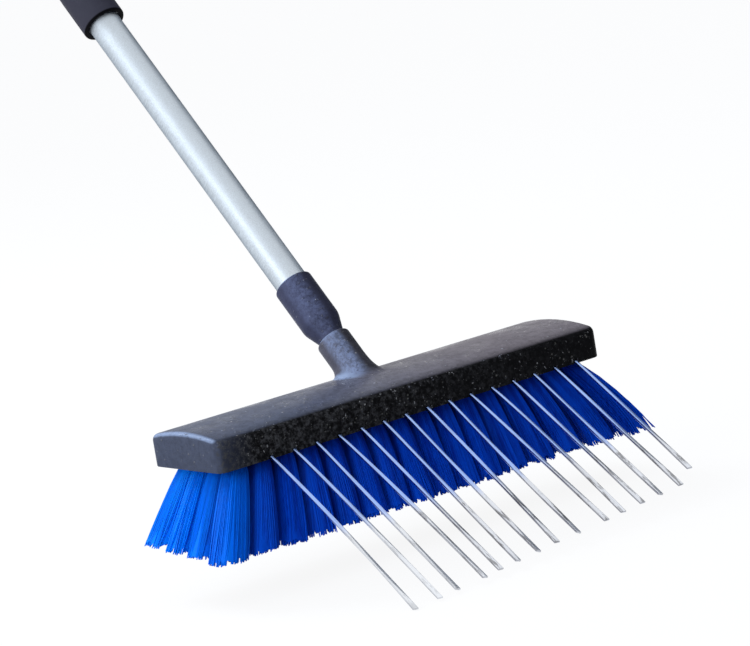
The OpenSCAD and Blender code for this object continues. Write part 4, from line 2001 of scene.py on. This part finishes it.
@dataclass
class TwistCollar(TurnedPiece):
    """The collar that is turned to lock the telescope."""

    end_round: float = 3.2 * MM
    top_round: float = 1 * MM
    lip: float = 4 * MM
    lip_gap: float = 1.1 * MM
    lip_round: float = 0.8 * MM
    wall: float = 1.7 * MM
    flutes: int = 14
    flute_depth: float = 0.9 * MM
    smooth_length: float = 37 * MM
    flute_fade: float = 5 * MM
    flute_stop: float = 3 * MM
    flute_stop_fade: float = 2 * MM
    bands: int = 26
    sides: int = 168

    def dent(self, s: float, angle: float) -> float:
        """Gives the depth of the finger flutes at a place on the collar.

        Args:
            s: Distance up the axis.
            angle: Angle in radians around it.

        Returns:
            The depth.
        """
        low, high = self.axis.span("lock_collar")
        begun = (s - low - self.smooth_length) / self.flute_fade
        left = (high - self.flute_stop - s) / self.flute_stop_fade
        ease = min(max(begun, 0.0), 1.0) * min(max(left, 0.0), 1.0)
        wave = 0.5 - 0.5 * math.cos(angle * self.flutes)
        return self.flute_depth * ease * wave**3

    def build(self) -> bpy.types.Object:
        """Makes and dresses the collar.

        Returns:
            The finished collar.
        """
        low, high = self.axis.span("lock_collar")
        outer = self.axis.radius("lock_collar")
        bore = self.axis.radius("lower_tube") + self.lip_gap
        inner = outer - self.wall
        lengths = np.linspace(low + self.end_round, high - self.top_round, self.bands)[1:-1]
        shape = self.turn([
            (low, bore, self.lip_round), (low, outer, self.end_round),
            *((float(s), outer, 0.0) for s in lengths),
            (high, outer, self.top_round), (high, inner, 0.0),
            (low + self.lip, inner, 0.0), (low + self.lip, bore, 0.0),
        ], closed=True, sides=self.sides)
        self.sink_flutes(shape, outer)
        collar = shape.build("twist_collar")
        COLLAR_PLASTIC.apply(collar)
        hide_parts("lock_collar")
        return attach(collar, Body.COLLAR.value)

    def sink_flutes(self, shape: Shape, outer: float) -> None:
        """Presses the finger flutes into the outer face.

        Args:
            shape: The turned collar.
            outer: Radius of the outer face.
        """
        for point in shape.points:
            offset = point - self.axis.origin
            s = offset.dot(self.axis.along)
            spoke = offset - self.axis.along * s
            if spoke.length > outer - SLACK:
                angle = math.atan2(spoke.dot(self.axis.front), spoke.dot(self.axis.across))
                point -= spoke.normalized() * self.dent(s, angle)


@dataclass
class FoamGrip(TurnedPiece):
    """The foam sleeve at the handle's top."""

    end_round: float = 3 * MM
    bore_round: float = 0.5 * MM
    bore_gap: float = 0.05 * MM
    swell: float = 0.25 * MM
    waves: int = 5
    plain_share: float = 0.04
    bands: int = 31

    def build(self) -> bpy.types.Object:
        """Makes and dresses the grip.

        Returns:
            The finished grip.
        """
        low, high = self.axis.span("foam_grip")
        outer = self.axis.radius("foam_grip")
        bore = self.axis.radius("upper_tube") + self.bore_gap
        middle = []
        for t in np.linspace(self.plain_share, 1 - self.plain_share, self.bands):
            dip = self.swell * (0.5 + 0.5 * math.cos(2 * math.pi * self.waves * t))
            middle.append((low + (high - low) * float(t), outer - dip, 0.0))
        shape = self.turn([
            (low, bore, self.bore_round), (low, outer, self.end_round), *middle,
            (high, outer, self.end_round), (high, bore, self.bore_round),
        ], closed=True)
        grip = shape.build("foam_sleeve")
        GRIP_FOAM.apply(grip)
        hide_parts("foam_grip")
        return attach(grip, Body.UPPER.value)


@dataclass
class EndCap(TurnedPiece):
    """The cap with a hanging eye that closes the upper tube."""

    head_length: float = 8 * MM
    head_round: float = 4 * MM
    rim_round: float = 1.5 * MM
    plug_gap: float = 1.25 * MM
    plug_round: float = 1 * MM
    tab_sink: float = 1 * MM
    tab_half_thickness: float = 4.5 * MM
    tab_half_width: float = 11 * MM
    hole_radius: float = 4 * MM
    edge_round: float = 1.3 * MM
    edge_steps: int = 4
    sides: int = 72

    def eye(self, start: float, hole: float) -> Shape:
        """Makes the hanging tab around its hole.

        Args:
            start: Place of the tab's lower end along the axis.
            hole: Place of the hole's middle along the axis.

        Returns:
            The tab, closed.
        """
        shape = Shape()
        centre = self.axis.point(hole)
        half, cut = self.tab_half_thickness, self.edge_round
        rings = []
        for k in range(self.sides):
            angle = 2 * math.pi * k / self.sides
            up, over = math.sin(angle), math.cos(angle)
            near, far = self.hole_radius, self.tab_half_width
            if up < 0:
                far = min(far / max(abs(over), NEAR_ZERO), (hole - start) / -up)
            corners = [(near, -half, cut), (near, half, cut), (far, half, cut), (far, -half, cut)]
            section = soften(corners, closed=True, steps=self.edge_steps)
            spoke = self.axis.along * up + self.axis.front * over
            rings.append(shape.ring(centre + spoke * r + self.axis.across * x for r, x in section))
        shape.loft(rings, closed=True)
        return shape

    def build(self) -> bpy.types.Object:
        """Makes and dresses the cap.

        Returns:
            The finished cap.
        """
        low, high = self.axis.span("end_cap")
        outer = self.axis.radius("foam_grip")
        plug = self.axis.radius("upper_tube") - self.plug_gap
        seat = self.axis.span("foam_grip")[1]
        top = seat + self.head_length
        shape = self.turn([
            (low, AXIS_GAP, 0.0), (low, plug, self.plug_round), (seat, plug, 0.0),
            (seat, outer, self.rim_round), (top, outer, self.head_round), (top, AXIS_GAP, 0.0),
        ])
        shape.join(self.eye(top - self.tab_sink, high - self.tab_half_width))
        cap = shape.build("hanging_cap")
        CAP_PLASTIC.apply(cap)
        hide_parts("end_cap")
        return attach(cap, Body.UPPER.value)


KEPT_NODES: dict[str, Finish] = {
    "bristle_plate": PLATE,
    "tine_bar": BAR_STEEL,
    "bar_screws": SCREW_STEEL,
    "plate_screws": SCREW_STEEL,
    "tuft_anchors": ANCHOR_METAL,
    "tip_rivet": RIVET_METAL,
    "sleeve_rivets": RIVET_METAL,
    "retaining_ring": SCREW_STEEL,
    "lower_tube": TUBE_METAL,
    "upper_tube": TUBE_METAL,
    "tube_guide": GUIDE_PLASTIC,
    "lock_collet": GUIDE_PLASTIC,
    "lock_sleeve": SLEEVE_PLASTIC,
}


# ---------------------------------------------------------------- studio


@dataclass(frozen=True)
class Viewpoint:
    """The camera's place and lens."""

    azimuth: float = -35.728
    elevation: float = 9.838
    roll: float = 9.45
    distance: float = 3.0566
    right: float = -0.01512
    up: float = 0.12212
    lens: float = 202.4
    far: float = 50.0

    def build(self) -> None:
        """Makes the camera and hands it to the scene."""
        turn, lift, tilt = (math.radians(v) for v in (self.azimuth, self.elevation, self.roll))
        back = Vector((math.sin(turn) * math.cos(lift), -math.cos(turn) * math.cos(lift), math.sin(lift)))
        level = Vector((math.cos(turn), math.sin(turn), 0))
        above = back.cross(level)
        right = level * math.cos(tilt) - above * math.sin(tilt)
        up = level * math.sin(tilt) + above * math.cos(tilt)
        camera = bpy.data.objects.new("camera", bpy.data.cameras.new("camera"))
        camera.data.sensor_fit = "HORIZONTAL"
        camera.data.lens = self.lens
        camera.data.clip_end = self.far
        camera.matrix_world = Matrix((right, up, back)).transposed().to_4x4()
        camera.location = right * self.right + up * self.up + back * self.distance
        bpy.context.scene.collection.objects.link(camera)
        bpy.context.scene.camera = camera


@dataclass(frozen=True)
class SoftLamp:
    """A large square lamp that faces a point."""

    name: str
    place: Triple
    aim: Triple
    size: float
    power: float
    colour: Colour

    def build(self) -> None:
        """Makes the lamp."""
        data = bpy.data.lights.new(self.name, "AREA")
        data.size = self.size
        data.energy = self.power
        data.color = self.colour
        lamp = bpy.data.objects.new(self.name, data)
        lamp.location = self.place
        lamp.rotation_euler = (Vector(self.aim) - Vector(self.place)).to_track_quat("-Z", "Y").to_euler()
        bpy.context.scene.collection.objects.link(lamp)


@dataclass(frozen=True)
class Studio:
    """A pale floor, surroundings that are bright at the left and pale blue overhead, and two soft lamps."""

    floor_size: float = 30.0
    floor_gap: float = 0.3 * MM
    floor_white: float = 0.9
    floor_roughness: float = 0.9
    floor_seen: Colour = (0.36, 0.36, 0.37)
    floor_colour: Colour = (0.85, 0.85, 0.85)
    dim: Colour = (0.2, 0.2, 0.22)
    zenith: Colour = (0.7, 0.78, 0.95)
    zenith_span: Range = (0.1, 0.9)
    left: Colour = (1.2, 1.3, 1.4)
    left_side: Triple = (-0.85, 0.4, 0.2)
    left_span: Range = (0.1, 0.85)
    seen: Colour = (1.0, 1.0, 1.0)
    flag_place: Triple = (2.0, 0.3, 1.0)
    flag_width: float = 2.6
    flag_height: float = 1.9
    flag_grain: Noise = Noise(3)
    flag_greys: tuple[Colour, Colour] = ((0.3, 0.3, 0.3), (0.34, 0.34, 0.34))
    lamps: tuple[SoftLamp, ...] = (
        SoftLamp("back_lamp", (-0.45, 1.4, 1.4), (0.0, 0.05, 0.08), 0.9, 28.0, (0.86, 0.93, 1.0)),
        SoftLamp("side_lamp", (-1.9, -0.3, 0.7), (-0.1, 0.0, 0.04), 1.0, 15.0, (0.92, 0.96, 1.0)),
    )

    def sheet(self, name: str, corners: Iterable[Vector], surface: bpy.types.Material) -> bpy.types.Object:
        """Makes a flat sheet.

        Args:
            name: Name of the sheet.
            corners: Its corners in order.
            surface: The material that covers it.

        Returns:
            The sheet.
        """
        shape = Shape()
        shape.cap(shape.ring(corners))
        sheet = shape.build(name)
        sheet.data.materials.append(surface)
        return sheet

    def floor(self, low: float) -> None:
        """Lays the floor.

        Args:
            low: Height of the lowest point that rests on it.
        """
        half = self.floor_size / 2
        height = low - self.floor_gap
        tree = Graph.material("pale_floor")
        seen = tree.seen()
        tree.put("Base Color", tree.blend(seen, self.floor_seen, self.floor_colour))
        tree.put("Roughness", self.floor_roughness)
        glow = tree.nodes.new("ShaderNodeEmission")
        mix = tree.nodes.new("ShaderNodeMixShader")
        tree.feed(mix.inputs["Fac"], tree.times(seen, self.floor_white))
        tree.feed(mix.inputs[1], tree.nodes["Principled BSDF"].outputs["BSDF"])
        tree.feed(mix.inputs[2], glow.outputs["Emission"])
        tree.feed(tree.nodes["Material Output"].inputs["Surface"], mix.outputs["Shader"])
        floor = self.sheet("floor", (Vector((x * half, y * half, height)) for x, y in SQUARE), tree.owner)
        floor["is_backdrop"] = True

    def flag(self) -> None:
        """Stands a grey card at the right, out of the camera's sight, that only reflections show."""
        place, half_width, half_height = Vector(self.flag_place), self.flag_width / 2, self.flag_height / 2
        tree = Graph.material("grey_card")
        tree.put("Base Color", tree.blend(tree.noise(self.flag_grain), *self.flag_greys))
        tree.put("Roughness", 1.0)
        corners = (place + Vector((0, y * half_width, z * half_height)) for y, z in SQUARE)
        card = self.sheet("grey_card", corners, tree.owner)
        card.visible_camera = False
        card.visible_diffuse = False
        card.visible_shadow = False
        card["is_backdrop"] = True

    def surroundings(self) -> None:
        """Sets the light around the object, and white where the camera sees past it."""
        world = bpy.data.worlds.new("studio")
        bpy.context.scene.world = world
        graph = Graph(world, Places.IN_THE_SKY)
        high = graph.remap(graph.facing(graph.place, UP), self.zenith_span)
        overhead = graph.blend(high, self.dim, self.zenith)
        beside = graph.remap(graph.facing(graph.place, self.left_side), self.left_span)
        around = graph.blend(beside, overhead, self.left)
        final = graph.blend(graph.seen(), around, self.seen)
        graph.feed(graph.nodes["Background"].inputs["Color"], final)

    def build(self, low: float) -> None:
        """Sets up the whole studio.

        Args:
            low: Height of the lowest point that rests on the floor.
        """
        self.floor(low)
        self.surroundings()
        self.flag()
        for lamp in self.lamps:
            lamp.build()
        Viewpoint().build()
        bpy.context.scene.view_settings.view_transform = "Standard"


# ---------------------------------------------------------------- the whole object


def corners_as_lists(box: Sequence[Vector]) -> list[list[float]]:
    """Turns a box's two corners into plain lists."""
    return [list(corner) for corner in box]


def main() -> None:
    """Builds every piece in order."""
    logging.basicConfig(level=logging.INFO, format="%(message)s")
    packed_box = corners_as_lists(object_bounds())
    block = Block.measured()
    axis = HandleAxis.measured(block)
    tines = [Tine(number, block) for number in range(1, TINE_COUNT + 1)]
    pieces = [Casing(block, axis).build([tine.place() for tine in tines])]
    pieces += [TuftRow(node, number).build() for number, node in enumerate(TuftRowNode)]
    pieces += [tine.build() for tine in tines]
    pieces += [part(axis).build() for part in (HandleTip, TwistCollar, FoamGrip, EndCap)]
    for piece in pieces:
        LOG.info("%s: %d faces", piece.name, len(piece.data.polygons))
    for node, finish in KEPT_NODES.items():
        finish.apply(frame["nodes"][node])
        LOG.info("%s: kept, %s", node, finish.name)
    Studio().build(packed_box[0][2])


if __name__ == "__main__":
    main()
